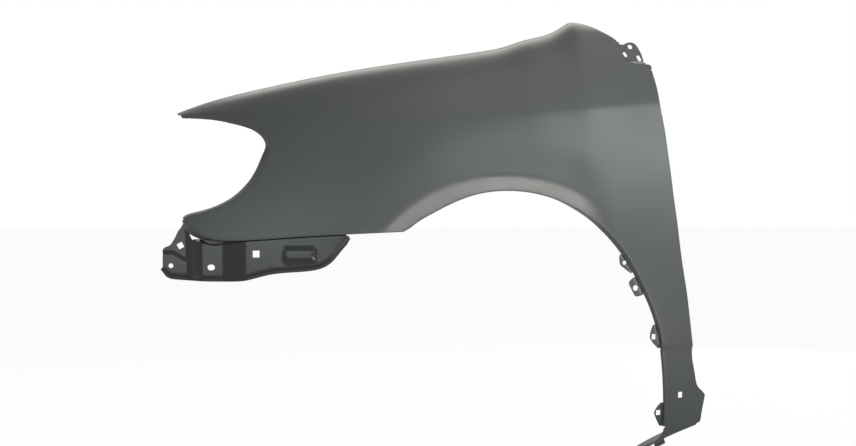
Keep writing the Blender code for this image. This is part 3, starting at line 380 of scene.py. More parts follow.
def spline(knots, values):
    """The natural cubic spline through values at knots, as a function."""
    knots = np.asarray(knots, float)
    values = np.asarray(values, float)
    step = np.diff(knots)
    count = len(knots)
    matrix = np.eye(count)
    right = np.zeros(values.shape)
    for i in range(1, count - 1):
        matrix[i, i - 1 : i + 2] = step[i - 1], 2.0 * (step[i - 1] + step[i]), step[i]
        slope_in = (values[i] - values[i - 1]) / step[i - 1]
        slope_out = (values[i + 1] - values[i]) / step[i]
        right[i] = 6.0 * (slope_out - slope_in)
    second = np.linalg.solve(matrix, right)

    def at(t):
        t = np.asarray(t, float)
        i = np.clip(np.searchsorted(knots, t) - 1, 0, count - 2)
        h = step[i]
        a = (knots[i + 1] - t) / h
        b = (t - knots[i]) / h
        if values.ndim > 1:
            a, b, h = a[..., None], b[..., None], h[..., None]
        bend = (a**3 - a) * second[i] + (b**3 - b) * second[i + 1]
        return a * values[i] + b * values[i + 1] + bend * h * h / 6.0

    return at


crest_height = spline([x for x, _ in CREST], [z for _, z in CREST])
bumper_height = spline([x for x, _ in BUMPER_EDGE], [z for _, z in BUMPER_EDGE])


def plan_in(x):
    """How far the body side has curved inboard at x."""
    ahead = np.maximum(0.0, (PLAN_START_X - x) / PLAN_RUN)
    behind = np.maximum(0.0, x)
    return PLAN_IN * ahead**PLAN_POWER + DOOR_END_CROWN * behind**2


def shoulder_in(x, z):
    """How far the shoulder has rolled inboard at height z."""
    share = np.clip((z - SHOULDER_Z) / (crest_height(x) - SHOULDER_Z), 0.0, 1.0)
    return SHOULDER_WIDTH * (1.0 - np.sqrt(1.0 - share**SHOULDER_POWER))


def arch_distance(x, z):
    """Distance in side view from the centre of the arch."""
    return np.hypot(x - ARCH_CENTRE[0], z - ARCH_CENTRE[1])


def band_radius(x):
    """Outer radius of the tucked band, which widens toward the front corner of the arch."""
    return BAND_R + BAND_TOE_EXTRA * smooth((BAND_TOE_X - x) / BAND_TOE_RUN)


def crease_height(x):
    """Height of the character line at x."""
    return CREASE_Z + CREASE_RISE * x


def pressed_in(x, z):
    """Inboard offset of the pressed details: character line, arch band, hollow and sill zone."""
    strong = smooth((x - CREASE_FAINT_X) / CREASE_FADE_RUN)
    height = CREASE_HEIGHT * (CREASE_FRONT_SHARE + (1.0 - CREASE_FRONT_SHARE) * strong)
    apart = z - crease_height(x)
    away = np.sqrt(apart**2 + CREASE_SOFTNESS**2)
    crease = height * np.exp(-away / np.where(apart > 0.0, CREASE_ABOVE, CREASE_BELOW))

    fade = 1.0 - smooth((x - TUCK_FADE_X) / TUCK_FADE_RUN)
    band = band_radius(x)
    past = (band - arch_distance(x, z)) / BAND_WIDTH
    tuck = TUCK * soft_ramp(past, TUCK_SOFTNESS / BAND_WIDTH)
    hollow = HOLLOW * smooth(1.0 - (arch_distance(x, z) - band) / HOLLOW_WIDTH)
    over_wheel = smooth((z - SHOULDER_Z + OVER_WHEEL_RUN) / OVER_WHEEL_RUN)
    arch = fade * over_wheel * (hollow + tuck)

    sill = SILL_STEP_IN * smooth((SILL_STEP_Z - z) / SILL_STEP_HEIGHT + 0.5)
    behind_wheel = smooth((x - SILL_FROM_X) / SILL_FROM_RUN)
    crown = SILL_CROWN * np.maximum(0.0, SHOULDER_Z - z) ** 2
    return arch + sill * behind_wheel + crown - crease


def tab_share(x, z):
    """1 on the cowl tab and 0 on the skin, across a step that rounds the tab's corner."""
    inner_x = TAB_CORNER_R - (x - TAB_FRONT_X)
    inner_z = TAB_CORNER_R - (z - TAB_FLOOR_Z)
    corner = np.hypot(np.maximum(inner_x, 0.0), np.maximum(inner_z, 0.0))
    depth = TAB_CORNER_R - np.maximum(corner, np.maximum(inner_x, inner_z))
    return smooth(depth / TAB_STEP)


def section(x, s):
    """Height and shoulder offset of the point whose height and offset add up to s."""
    rise = crest_height(x) - SHOULDER_Z
    low = np.zeros_like(s)
    high = np.full_like(s, QUARTER)
    for _ in range(SECTION_HALVINGS):
        middle = (low + high) / 2
        height = rise * np.sin(middle) ** (2.0 / SHOULDER_POWER)
        offset = SHOULDER_WIDTH * (1.0 - np.cos(middle))
        below = height + offset < s - SHOULDER_Z
        low = np.where(below, middle, low)
        high = np.where(below, high, middle)
    upright = s < SHOULDER_Z
    return np.where(upright, s, SHOULDER_Z + height), np.where(upright, 0.0, offset)


def skin_at(flat):
    """Places points of the flat pattern, given as x and s, on the outer face of the skin."""
    x, s = flat[:, 0], flat[:, 1]
    z, rolled = section(x, s)
    side = plan_in(x) + rolled + pressed_in(x, z)
    plate = TAB_PLANE_Y + TAB_PLANE_LEAN * (z - TAB_FLOOR_Z)
    share = tab_share(x, z)
    return np.stack([x, side + share * (plate - side), z], axis=1)


def skin_flat(points):
    """Flat pattern x and s of outline points given as x and z."""
    x, z = np.array(points, float).T
    return np.stack([x, z + shoulder_in(x, z)], axis=1)


def stair_in(x):
    """Inboard offset of the bracket's faces and walls at x."""
    first = STEP_SLOPES[0][0]
    offset = plan_in(np.maximum(x, first)) + BRACKET_INSET
    for start, slope in STEP_SLOPES:
        offset = offset + slope * soft_ramp(start - x, STEP_SOFTNESS)
    return offset


def bracket_at(flat):
    """Places points of the bracket's flat pattern, given as x and z, on its outer face."""
    x, z = flat[:, 0], flat[:, 1]
    line = WING_STEP_Z - WING_STEP_FALL * np.maximum(0.0, x - WING_STEP_X)
    wing = smooth((STEP_SLOPES[3][0] - x) / WING_RUN)
    stepped = WING_STEP_IN * wing * smooth((z - line) / WING_STEP_HEIGHT)
    across = np.abs(x - PAD_X) - PAD_HALF_LENGTH
    along = np.abs(z - PAD_Z) - PAD_HALF_HEIGHT
    raised = PAD_OUT * smooth(-across / PAD_EDGE) * smooth(-along / PAD_EDGE)
    return np.stack([x, stair_in(x) + stepped - raised, z], axis=1)


def normals_of(place, flat):
    """Outward normals of a placed sheet."""
    step_x, step_s = (NORMAL_STEP, 0.0), (0.0, NORMAL_STEP)
    along_x = place(flat + step_x) - place(flat - step_x)
    along_s = place(flat + step_s) - place(flat - step_s)
    return unit(np.cross(along_x, along_s))


def run_length(points):
    """Distance along a polyline at each of its points."""
    return np.concatenate([[0.0], np.cumsum(np.linalg.norm(np.diff(points, axis=0), axis=1))])


def stepped(start, end, step):
    """Evenly spaced values about one step apart, ends included."""
    return np.linspace(start, end, max(2, round((end - start) / step) + 1))


def sampled(points, step):
    """Evenly spaced points on the smooth curve through the given ones, ends included."""
    points = np.array(points, float)
    chord = run_length(points)
    return spline(chord, points)(stepped(0.0, chord[-1], step))


def pulled_in(run, inset):
    """An open run of points moved inward, to the left of its direction."""
    ahead = unit(np.diff(run, axis=0))
    inward = np.stack([-ahead[:, 1], ahead[:, 0]], axis=1)
    both = np.concatenate([inward[:1], inward[:-1] + inward[1:], inward[-1:]])
    return run + inset * unit(both)


def crossing(a, b):
    """Where two runs cross nearest to the end of the first and the start of the second."""
    low, high = -CROSSING_SLACK, 1.0 + CROSSING_SLACK
    for i in range(len(a) - 1, 0, -1):
        for j in range(1, len(b)):
            run_a, run_b = a[i] - a[i - 1], b[j] - b[j - 1]
            sides = np.stack([run_a, -run_b], axis=1)
            if abs(np.linalg.det(sides)) < PARALLEL_BELOW:
                continue
            t, u = np.linalg.solve(sides, b[j - 1] - a[i - 1])
            if low <= t <= high and low <= u <= high:
                return i, j, a[i - 1] + t * run_a
    return None


def joined(a, b):
    """Two runs trimmed or lengthened to meet at a corner, or left as they are where parallel."""
    end, start = unit(a[-1] - a[-2]), unit(b[1] - b[0])
    if np.dot(end, start) > math.cos(CORNER_ANGLE):
        if np.linalg.norm(a[-1] - b[0]) < CORNER_STEP:
            b[0] = a[-1]
        return a, b
    longer_a = np.concatenate([a, [a[-1] + end * CORNER_REACH]])
    longer_b = np.concatenate([[b[0] - start * CORNER_REACH], b])
    i, j, corner = crossing(longer_a, longer_b)
    near_a = [p for p in longer_a[:i] if np.linalg.norm(p - corner) > CORNER_STEP]
    near_b = [p for p in longer_b[j:] if np.linalg.norm(p - corner) > CORNER_STEP]
    return np.array([*near_a, corner]), np.array([corner, *near_b])


def closed_outline(chains):
    """The flat loop through all chains, and the stretch of it that each chain covers."""
    runs = []
    for chain in chains:
        run = chain.points if chain.step is None else sampled(chain.points, chain.step)
        runs.append(pulled_in(run, chain.inset))
    for k in range(len(runs)):
        runs[k - 1], runs[k] = joined(runs[k - 1], runs[k])
    loop, spans = [], {}
    for k, chain in enumerate(chains):
        run = runs[k]
        meets = np.allclose(run[-1], runs[(k + 1) % len(runs)][0])
        spans[chain.name] = (len(loop), len(loop) + len(run) - 1)
        loop.extend(run[:-1] if meets else run)
    return np.array(loop), spans


def near(points, loop, closed):
    """Least distance from each point to a polyline."""
    ends = np.roll(loop, -1, axis=0) if closed else loop[1:]
    starts = loop if closed else loop[:-1]
    run = ends - starts
    share = ((points[:, None] - starts) * run).sum(-1) / (run**2).sum(-1)
    foot = starts + np.clip(share, 0.0, 1.0)[..., None] * run
    return np.linalg.norm(points[:, None] - foot, axis=-1).min(axis=1)


def within(points, loop):
    """Whether each point lies inside a closed loop."""
    x, y = points[:, :1], points[:, 1:]
    ends = np.roll(loop, -1, axis=0)
    crosses = (loop[:, 1] > y) != (ends[:, 1] > y)
    rise = np.where(ends[:, 1] == loop[:, 1], 1.0, ends[:, 1] - loop[:, 1])
    at = loop[:, 0] + (y - loop[:, 1]) * (ends[:, 0] - loop[:, 0]) / rise
    return (crosses & (at > x)).sum(axis=1) % 2 == 1


def batched(test, points, *rest):
    """The test's answer for every point, worked out for a batch of points at a time."""
    parts = np.array_split(points, len(points) // BATCH + 1)
    return np.concatenate([test(part, *rest) for part in parts])


def filled(loop, creases, grid):
    """Points and triangles that fill a flat loop, with an edge along every crease."""
    low, high = loop.min(axis=0), loop.max(axis=0)
    rows = np.arange(low[1], high[1], grid * math.sqrt(0.75))
    field = [
        (x + (grid / 2 if k % 2 else 0.0), s)
        for k, s in enumerate(rows)
        for x in np.arange(low[0], high[0], grid)
    ]
    field = np.array(field)
    field = field[batched(within, field, loop)]
    keep = batched(near, field, loop, True) > LOOP_CLEARANCE * grid
    for crease in creases:
        keep &= batched(near, field, crease, False) > CREASE_CLEARANCE * grid
    points = [Vector(p) for p in loop]
    edges = []
    for crease in creases:
        first = len(points)
        points += [Vector(p) for p in crease]
        edges += [(first + k, first + k + 1) for k in range(len(crease) - 1)]
    points += [Vector(p) for p in field[keep]]
    face = list(range(len(loop)))
    result = delaunay_2d_cdt(points, edges, [face], 1, FILL_TOLERANCE)
    used = sorted({i for triangle in result[2] for i in triangle})
    place = {old: new for new, old in enumerate(used)}
    triangles = [[place[i] for i in triangle] for triangle in result[2]]
    return np.array([tuple(result[0][i]) for i in used]), triangles


def edge_frame(place, loop, span, cut_start=0, cut_end=0):
    """A stretch of the outline in space, with outward directions and normals, cut at its ends."""
    flat = loop[np.arange(span[0], span[1] + 1) % len(loop)]
    point = place(flat)
    normal = normals_of(place, flat)
    out = unit(np.cross(np.gradient(point, axis=0), normal))
    kept = slice(cut_start, len(point) - cut_end)
    return point[kept], out[kept], normal[kept]


def levelled(edge):
    """The edge with its normals turned level, so that a right-angle fold runs level too."""
    point, _, normal = edge
    level = unit(normal * (1.0, 1.0, 0.0))
    return point, unit(np.cross(np.gradient(point, axis=0), level)), level


def turned(out, normal, angle):
    """The frame after a fold toward the inside by an angle."""
    c, s = np.cos(angle), np.sin(angle)
    return out * c - normal * s, normal * c + out * s


def fold(edge, moves):
    """Rows of points across a fold. Each move turns through an arc, then runs straight."""
    point, out, normal = edge
    rows = [point]
    for radius, turn, leg in moves:
        turn = np.reshape(turn, (-1, 1))
        steps = math.ceil(np.abs(turn).max() / ARC_STEP)
        for _ in range(steps):
            half = turn / steps / 2
            out, normal = turned(out, normal, half)
            point = point + out * (2 * radius * np.sin(np.abs(half)))
            out, normal = turned(out, normal, half)
            rows.append(point)
        if np.any(leg):
            point = point + out * np.reshape(leg, (-1, 1))
            rows.append(point)
    return rows, (point, out, normal)


def fold_at(table, place):
    """Turn and flange width of a fold at places along its edge."""
    places, turns, legs = np.array(table).T
    return np.radians(np.interp(place, places, turns)), np.interp(place, places, legs)


def runout(edge, both=True):
    """Share of the full leg along an edge: shorter toward its start, or toward both ends."""
    along = run_length(edge[0])
    from_end = np.minimum(along, along[-1] - along) if both else along
    return FLANGE_START + (1.0 - FLANGE_START) * smooth(from_end / FLANGE_RUNOUT)


def mesh_object(mesh, name, shift):
    """A bmesh, moved by the shift, as an object of the scene."""
    bmesh.ops.translate(mesh, vec=shift, verts=mesh.verts)
    data = bpy.data.meshes.new(name)
    mesh.to_mesh(data)
    mesh.free()
    made = bpy.data.objects.new(name, data)
    bpy.context.scene.collection.objects.link(made)
    return made


class Sheet:
    """A pressed sheet: its outer face, built from filled outlines and folds."""

    def __init__(self):
        self.mesh = bmesh.new()

    def fill(self, points, triangles):
        """Adds the triangles that fill an outline."""
        verts = [self.mesh.verts.new(p) for p in points]
        for triangle in triangles:
            self.mesh.faces.new([verts[i] for i in triangle])

    def strip(self, rows):
        """Adds a band of faces across rows of points."""
        grid = [[self.mesh.verts.new(p) for p in row] for row in rows]
        for near_row, far_row in zip(grid, grid[1:]):
            for i in range(len(near_row) - 1):
                corners = (near_row[i + 1], near_row[i], far_row[i], far_row[i + 1])
                self.mesh.faces.new(corners)

    def fold(self, edge, moves):
        """Adds a fold along an edge and gives the frame at its far side."""
        rows, far_side = fold(edge, moves)
        self.strip(rows)
        return far_side

    def finished(self, name, thickness, shift):
        """The sheet as an object with its joints closed, thickened on the inside by a modifier."""
        bmesh.ops.remove_doubles(self.mesh, verts=self.mesh.verts, dist=MERGE_DISTANCE)
        bmesh.ops.triangulate(self.mesh, faces=self.mesh.faces, quad_method="SHORT_EDGE")
        sheet = mesh_object(self.mesh, name, shift)
        solid = sheet.modifiers.new("Thickness", "SOLIDIFY")
        solid.thickness = thickness
        solid.offset = -1.0
        solid.use_even_offset = True
        solid.use_quality_normals = True
        return sheet


def hole_outline(width, height, corner, turn):
    """A rectangle with rounded corners. A corner share of 0.5 makes it round or oblong."""
    radius = corner * min(width, height)
    points = []
    for quarter, (sx, sy) in enumerate(((1, 1), (-1, 1), (-1, -1), (1, -1))):
        centre = Vector((sx * (width / 2 - radius), sy * (height / 2 - radius)))
        for k in range(HOLE_SIDES_PER_CORNER + 1):
            angle = QUARTER * (quarter + k / HOLE_SIDES_PER_CORNER)
            points.append(centre + radius * Vector((math.cos(angle), math.sin(angle))))
    spin = Matrix.Rotation(math.radians(turn), 2)
    return [spin @ p for p in points]


class Punches:
    """All the holes of one sheet, as one cutter."""

    def __init__(self):
        self.mesh = bmesh.new()

    def add(self, centre, normal, width, height, corner, turn, up=(0.0, 0.0, 1.0)):
        """A hole at a place on the sheet, square to the normal."""
        normal = Vector(normal).normalized()
        across = Vector(up).cross(normal).normalized()
        upward = normal.cross(across)
        ring = hole_outline(width, height, corner, turn)
        centre = Vector(centre)
        flat = [centre + across * p.x + upward * p.y for p in ring]
        low = [self.mesh.verts.new(p - normal * PUNCH_REACH) for p in flat]
        high = [self.mesh.verts.new(p + normal * PUNCH_REACH) for p in flat]
        bmesh.ops.remove_doubles(self.mesh, verts=low + high, dist=RING_MERGE_DISTANCE)
        low = [v for v in low if v.is_valid]
        high = [v for v in high if v.is_valid]
        self.mesh.faces.new(high)
        self.mesh.faces.new(low[::-1])
        for i in range(len(low)):
            k = (i + 1) % len(low)
            self.mesh.faces.new((low[i], low[k], high[k], high[i]))

    def cut(self, sheet, shift):
        """Makes the sheet's thickness and holes part of its mesh, and removes the cutter."""
        cutter = mesh_object(self.mesh, sheet.name + "_punches", shift)
        holes = sheet.modifiers.new("Holes", "BOOLEAN")
        holes.operation = "DIFFERENCE"
        holes.solver = "EXACT"
        holes.object = cutter
        bpy.context.view_layer.update()
        graph = bpy.context.evaluated_depsgraph_get()
        final = bpy.data.meshes.new_from_object(sheet.evaluated_get(graph))
        sheet.modifiers.clear()
        sheet.data = final
        bpy.data.objects.remove(cutter, do_unlink=True)
        final.shade_smooth()
        final.set_sharp_from_angle(angle=SHARP_ANGLE)


def arch_points():
    """The arch edge: a short toe, the round of the wheel opening, and the rear leg."""
    angles = np.linspace(ARCH_FROM, ARCH_TO, ARCH_POINTS)[:-1]
    ring = [
        (ARCH_CENTRE[0] + ARCH_R * math.cos(a), ARCH_CENTRE[1] + ARCH_R * math.sin(a))
        for a in angles
    ]
    return [*ARCH_TOE, *ring, *ARCH_LEG]


def arch_run():
    """The arch edge in the flat pattern, with close points where the clip tabs are."""
    flat = skin_flat(arch_points())
    coarse = sampled(flat, CLIP_STEP / 2)
    along = run_length(coarse)
    rear = coarse[:, 0] > ARCH_REAR_X
    stops = [0.0]
    for tab in CLIP_TABS:
        hole = along[rear][np.argmin(np.abs(coarse[rear, 1] - tab.z))]
        stops += [hole - tab.above, hole, hole + tab.below]
    stops.append(along[-1])
    chosen = []
    for k, (a, b) in enumerate(zip(stops, stops[1:])):
        chosen.append(stepped(a, b, CLIP_STEP if k % 3 else SKIN_EDGE)[:-1])
    chosen = np.concatenate([*chosen, [along[-1]]])
    return np.stack([np.interp(chosen, along, coarse[:, k]) for k in (0, 1)], axis=1)


def hood_run():
    """The hood line in the flat pattern, from the cowl to the nose, with points at every pad."""
    stops = [HOOD_FRONT_X]
    for pad in HOOD_PADS:
        stops += [pad - HOOD_PAD_LENGTH / 2, pad, pad + HOOD_PAD_LENGTH / 2]
    stops.append(HOOD_REAR_X)
    runs = [stepped(a, b, SKIN_EDGE)[:-1] for a, b in zip(stops, stops[1:])]
    x = np.concatenate([*runs, [HOOD_REAR_X]])[::-1]
    return np.stack([x, crest_height(x) + SHOULDER_WIDTH], axis=1)


def skin_outline():
    """The flat outline of the skin, anticlockwise from the lower front corner.

    Its points lie closer together where it turns tightly.
    """
    hood = hood_run()
    cowl = skin_flat(COWL_EDGE)
    lamp = skin_flat(LAMP_EDGE)
    return closed_outline(
        [
            Chain("bumper", skin_flat(BUMPER_EDGE), BUMPER_BEND, SKIN_EDGE),
            Chain("arch", arch_run(), ARCH_BEND, None),
            Chain("toe top", np.array(TOE_TOP), 0.0, SKIN_EDGE * 0.6),
            Chain("toe end", np.array(TOE_END), 0.0, SKIN_EDGE),
            Chain("bottom", np.array(BOTTOM_EDGE), SILL_BEND, SKIN_EDGE * 0.8),
            Chain("heel rear", np.array(HEEL_REAR), 0.0, SKIN_EDGE),
            Chain("heel top", np.array(HEEL_TOP), DOOR_BEND, SKIN_EDGE * 0.7),
            Chain("door", skin_flat(DOOR_EDGE), DOOR_BEND, SKIN_EDGE),
            Chain("door corner", skin_flat(DOOR_CORNER), 0.0, SKIN_EDGE * 0.35),
            Chain("cowl tab", skin_flat(COWL_TAB), 0.0, SKIN_EDGE * 0.4),
            Chain("cowl", np.concatenate([cowl, hood[:1]]), COWL_BEND, SKIN_EDGE * 0.8),
            Chain("hood", hood, HOOD_BEND, None),
            Chain("nose", np.array([hood[-1], lamp[0]]), 0.0, SKIN_EDGE),
            Chain("lamp", lamp, LAMP_BEND, SKIN_EDGE * 0.8),
        ]
    )


def skin_creases():
    """Flat lines along which the skin changes direction."""
    creases = []
    front = max(x for x, _ in LAMP_EDGE) + SKIN_EDGE
    rear = min(x for x, _ in DOOR_EDGE) - SKIN_EDGE
    x = stepped(front, rear, SKIN_EDGE * 2)
    creases.append(skin_flat(np.stack([x, crease_height(x)], axis=1)))

    for share in BAND_CREASES:
        ring = []
        for angle in stepped(ARCH_TO, ARCH_FROM, BAND_CREASE_STEP / BAND_R):
            across, up = math.cos(angle), math.sin(angle)
            radius = float(band_radius(ARCH_CENTRE[0] + BAND_R * across)) + BAND_WIDTH * share
            ring.append((ARCH_CENTRE[0] + radius * across, ARCH_CENTRE[1] + radius * up))
        creases.append(skin_flat(ring))

    for side in (-0.5, 0.5):
        z = SILL_STEP_Z + side * SILL_STEP_HEIGHT
        x = stepped(ARCH_LEG[4][0] + SKIN_EDGE, DOOR_EDGE[0][0] - SKIN_EDGE, SKIN_EDGE)
        creases.append(np.stack([x, np.full_like(x, z)], axis=1))

    for depth in (0.0, TAB_STEP):
        radius = TAB_CORNER_R - depth
        centre = (TAB_FRONT_X + TAB_CORNER_R, TAB_FLOOR_Z + TAB_CORNER_R)
        bend = [
            (centre[0] + radius * math.cos(a), centre[1] + radius * math.sin(a))
            for a in np.radians(np.linspace(180.0, 270.0, TAB_CREASE_POINTS))
        ]
        top = (TAB_FRONT_X + depth, COWL_TAB[-1][1] + TAB_STEP)
        rear = (COWL_TAB[0][0] + TAB_STEP, TAB_FLOOR_Z + depth)
        middle = ((top[0] + bend[0][0]) / 2, (top[1] + bend[0][1]) / 2)
        half_way = ((rear[0] + bend[-1][0]) / 2, (rear[1] + bend[-1][1]) / 2)
        creases.append(skin_flat([top, middle, *bend, half_way, rear]))
    return creases


def hood_ledge(edge):
    """The fold along the hood line: down, then inboard to a ledge with level bolting pads."""
    rows, lower = fold(edge, [(HOOD_BEND, QUARTER, 0.0)])
    x = edge[0][:, 0]
    level = crest_height(x) - HOOD_DROP
    on_pad = np.zeros(len(x), bool)
    for pad in HOOD_PADS:
        here = np.abs(x - pad) < HOOD_PAD_LENGTH / 2 + PAD_SLACK
        level = np.where(here, float(crest_height(pad)) - HOOD_DROP, level)
        on_pad |= here
    drop = (lower[0][:, 2] - level - HOOD_BEND) / -lower[1][:, 2]
    third = HOOD_LEDGE / 3
    moves = [(0.0, 0.0, drop), (HOOD_BEND, -QUARTER, third)] + [(0.0, 0.0, third)] * 2
    ledge, _ = fold(lower, moves)
    for row in ledge[-4:]:
        row[on_pad, 2] = level[on_pad]
    return rows + ledge[1:]


def clip_tabs(sheet, punches, flange, turns):
    """Clip tabs turned out from the inner edge of the arch flange, parallel to the body side."""
    point, out, normal = flange
    along = run_length(point)
    for tab in CLIP_TABS:
        rear = np.where(point[:, 0] > ARCH_REAR_X, np.abs(point[:, 2] - tab.z), 1.0)
        hole = int(np.argmin(rear))
        first = int(np.argmin(np.abs(along - along[hole] + tab.above)))
        last = int(np.argmin(np.abs(along - along[hole] - tab.below)))
        edge = point[first : last + 1]
        apart = along[first : last + 1] - along[hole]
        across = np.abs(apart) / np.where(apart < 0.0, -apart[0], apart[-1])
        squareness = np.where(apart < 0.0, tab.upper, tab.lower)
        share = CLIP_TAPER_TO + (1.0 - CLIP_TAPER_TO) * (1.0 - across**squareness)
        toward, outward = turned(out[hole], normal[hole], -turns[hole])
        bend = CLIP_BEND * (1.0 - math.sqrt(0.5))
        first_row = edge + toward * bend - outward * (CLIP_BEND - bend)
        second_row = edge + toward * CLIP_BEND - outward * CLIP_BEND
        reach = tab.reach * share[:, None]
        rows = [edge, first_row, second_row]
        rows += [second_row + toward * reach / 2, second_row + toward * reach]
        sheet.strip(rows)
        seat = second_row[hole - first] + toward * tab.reach * tab.hole_at
        punches.add(seat, outward, tab.hole, tab.hole_height, tab.corner, 0.0)


def fender_panel(shift):
    """The outer panel: skin, folded edges, clip tabs and holes."""
    loop, spans = skin_outline()
    sheet, punches = Sheet(), Punches()
    points, triangles = filled(loop, skin_creases(), SKIN_GRID)
    sheet.fill(skin_at(points), triangles)

    def stretch(name, *cuts):
        return edge_frame(skin_at, loop, spans[name], *cuts)

    for name, bend, leg in (("door", DOOR_BEND, DOOR_FLANGE), ("cowl", COWL_BEND, COWL_FLANGE)):
        edge = stretch(name, 1, 1)
        sheet.fold(edge, [(bend, QUARTER, leg * runout(edge))])

    edge = levelled(stretch("bumper"))
    turn, leg = fold_at(BUMPER_FOLD, edge[0][:, 0])
    sheet.fold(edge, [(BUMPER_BEND, turn, leg * runout(edge))])

    edge = stretch("lamp", 1)
    turn, leg = fold_at(LAMP_FOLD, run_length(edge[0]))
    sheet.fold(edge, [(LAMP_BEND, turn, leg)])

    edge = stretch("arch", 0, 1)
    x, z = edge[0][:, 0] - ARCH_CENTRE[0], edge[0][:, 2] - ARCH_CENTRE[1]
    turn, leg = fold_at(ARCH_FOLD, np.degrees(np.arctan2(z, x)))
    flange = sheet.fold(edge, [(ARCH_BEND, turn, leg * runout(edge, both=False))])
    clip_tabs(sheet, punches, flange, turn)

    inner = sheet.fold(stretch("bottom", 0, 1), [(SILL_BEND, QUARTER, SILL_FLANGE)])
    hooked = (inner[0][:, 0] > SILL_HOOK_FROM_X) & (inner[0][:, 0] < SILL_HOOK_TO_X)
    hook = tuple(item[hooked] for item in inner)
    sheet.fold(hook, [(CLIP_BEND, -QUARTER, SILL_HOOK)])

    sheet.strip(hood_ledge(stretch("hood", 1, 3)))

    for x, z, *hole in COWL_HOLES:
        centre = skin_at(skin_flat([(x, z)]))[0]
        punches.add(centre, (0.0, -1.0, TAB_PLANE_LEAN), *hole)
    x, z, *hole = FOOT_HOLE
    flat = skin_flat([(x, z)])
    punches.add(skin_at(flat)[0], normals_of(skin_at, flat)[0], *hole)
    for pad in HOOD_PADS:
        centre = hood_pad_point(pad, HOOD_HOLE_OFFSET)
        punches.add(centre, (0.0, 0.0, 1.0), HOOD_HOLE, HOOD_HOLE, 0.5, 0.0, up=(0.0, 1.0, 0.0))

    panel = sheet.finished("panel_sheet", SKIN_SHEET, shift)
    punches.cut(panel, shift)
    return panel


def hood_pad_point(pad, offset):
    """A point on the top of a hood ledge pad, an offset behind the pad's middle."""
    x = pad + offset
    y = float(plan_in(x)) + SHOULDER_WIDTH + HOOD_BEND + HOOD_LEDGE / 2
    return Vector((x, y, float(crest_height(pad)) - HOOD_DROP))


def ledge_points():
    """The upper edge of the bracket: against the panel's lower flange, lower along the steps."""
    x = np.linspace(BRACKET_REAR_X, BRACKET_LEDGE_END_X, LEDGE_POINTS)
    dip = LEDGE_DIP * smooth((LEDGE_DIP_X - x) / LEDGE_DIP_RUN)
    return np.stack([x, bumper_height(x) - WELD_GAP - dip], axis=1)


def bumper_bracket(shift):
    """The bumper side bracket: stepped faces, a welding ledge above and a joggled lip below."""
    ledge = ledge_points()
    lip_height = BRACKET_BEND * 2 * math.sin(LIP_TURN) + LIP
    lower = np.array(BRACKET_BOTTOM)
    lower[-1] = ledge[0]
    wing = np.concatenate([ledge[-1:], WING])
    loop, spans = closed_outline(
        [
            Chain("lip", lower, lip_height, BRACKET_EDGE),
            Chain("ledge", ledge, BRACKET_BEND, BRACKET_EDGE),
            Chain("wing", wing, 0.0, BRACKET_EDGE * 0.8),
            Chain("front", np.array(BRACKET_FRONT), 0.0, BRACKET_EDGE * 1.5),
        ]
    )
    creases = []
    for start, _ in STEP_SLOPES:
        for x in (start - STEP_CREASE_SIDE, start + STEP_CREASE_SIDE):
            low, high = WING_STEP_Z - STEP_CREASE_DOWN, WING_STEP_Z + PAD_EDGE
            z = np.linspace(low, high, STEP_CREASE_POINTS)
            creases.append(np.stack([np.full_like(z, x), z], axis=1))
    for side in (-1.0, 1.0):
        for edge in (0.0, PAD_EDGE):
            x = PAD_X + side * (PAD_HALF_LENGTH - edge)
            along = np.linspace(-PAD_CREASE_SHARE, PAD_CREASE_SHARE, PAD_CREASE_POINTS)
            z = PAD_Z + along * PAD_HALF_HEIGHT
            creases.append(np.stack([np.full_like(z, x), z], axis=1))

    sheet, punches = Sheet(), Punches()
    points, triangles = filled(loop, creases, BRACKET_GRID)
    sheet.fill(bracket_at(points), triangles)

    edge = edge_frame(bracket_at, loop, spans["lip"], 0, 1)
    lip = LIP * runout(edge)
    sheet.fold(edge, [(BRACKET_BEND, LIP_TURN, LIP_STEP), (BRACKET_BEND, -LIP_TURN, lip)])

    edge = edge_frame(bracket_at, loop, spans["ledge"], 2, 1)
    upstand = BRACKET_UPSTAND * runout(edge, both=False)
    sheet.fold(edge, [(BRACKET_BEND, QUARTER, BRACKET_LEDGE), (BRACKET_BEND, -QUARTER, upstand)])

    for x, z, *hole in BRACKET_HOLES:
        flat = np.array([(x, z)])
        punches.add(bracket_at(flat)[0], normals_of(bracket_at, flat)[0], *hole)

    bracket = sheet.finished("bracket_sheet", BRACKET_SHEET, shift)
    punches.cut(bracket, shift)
    return bracket


def new_node(tree, kind, inputs):
    """A new node with the named inputs set."""
    made = tree.nodes.new(kind)
    for name, value in inputs.items():
        made.inputs[name].default_value = value
    return made


def combined(tree, operation, a, b):
    """The output of a math node that takes two other outputs."""
    made = tree.nodes.new("ShaderNodeMath")
    made.operation = operation
    tree.links.new(a, made.inputs[0])
    tree.links.new(b, made.inputs[1])
    return made.outputs["Value"]


def ranged(tree, source, low, high, to_low, to_high):
    """The output of a node that maps one range of values to another."""
    limits = {"From Min": low, "From Max": high, "To Min": to_low, "To Max": to_high}
    span = new_node(tree, "ShaderNodeMapRange", limits)
    tree.links.new(source, span.inputs["Value"])
    return span.outputs["Result"]


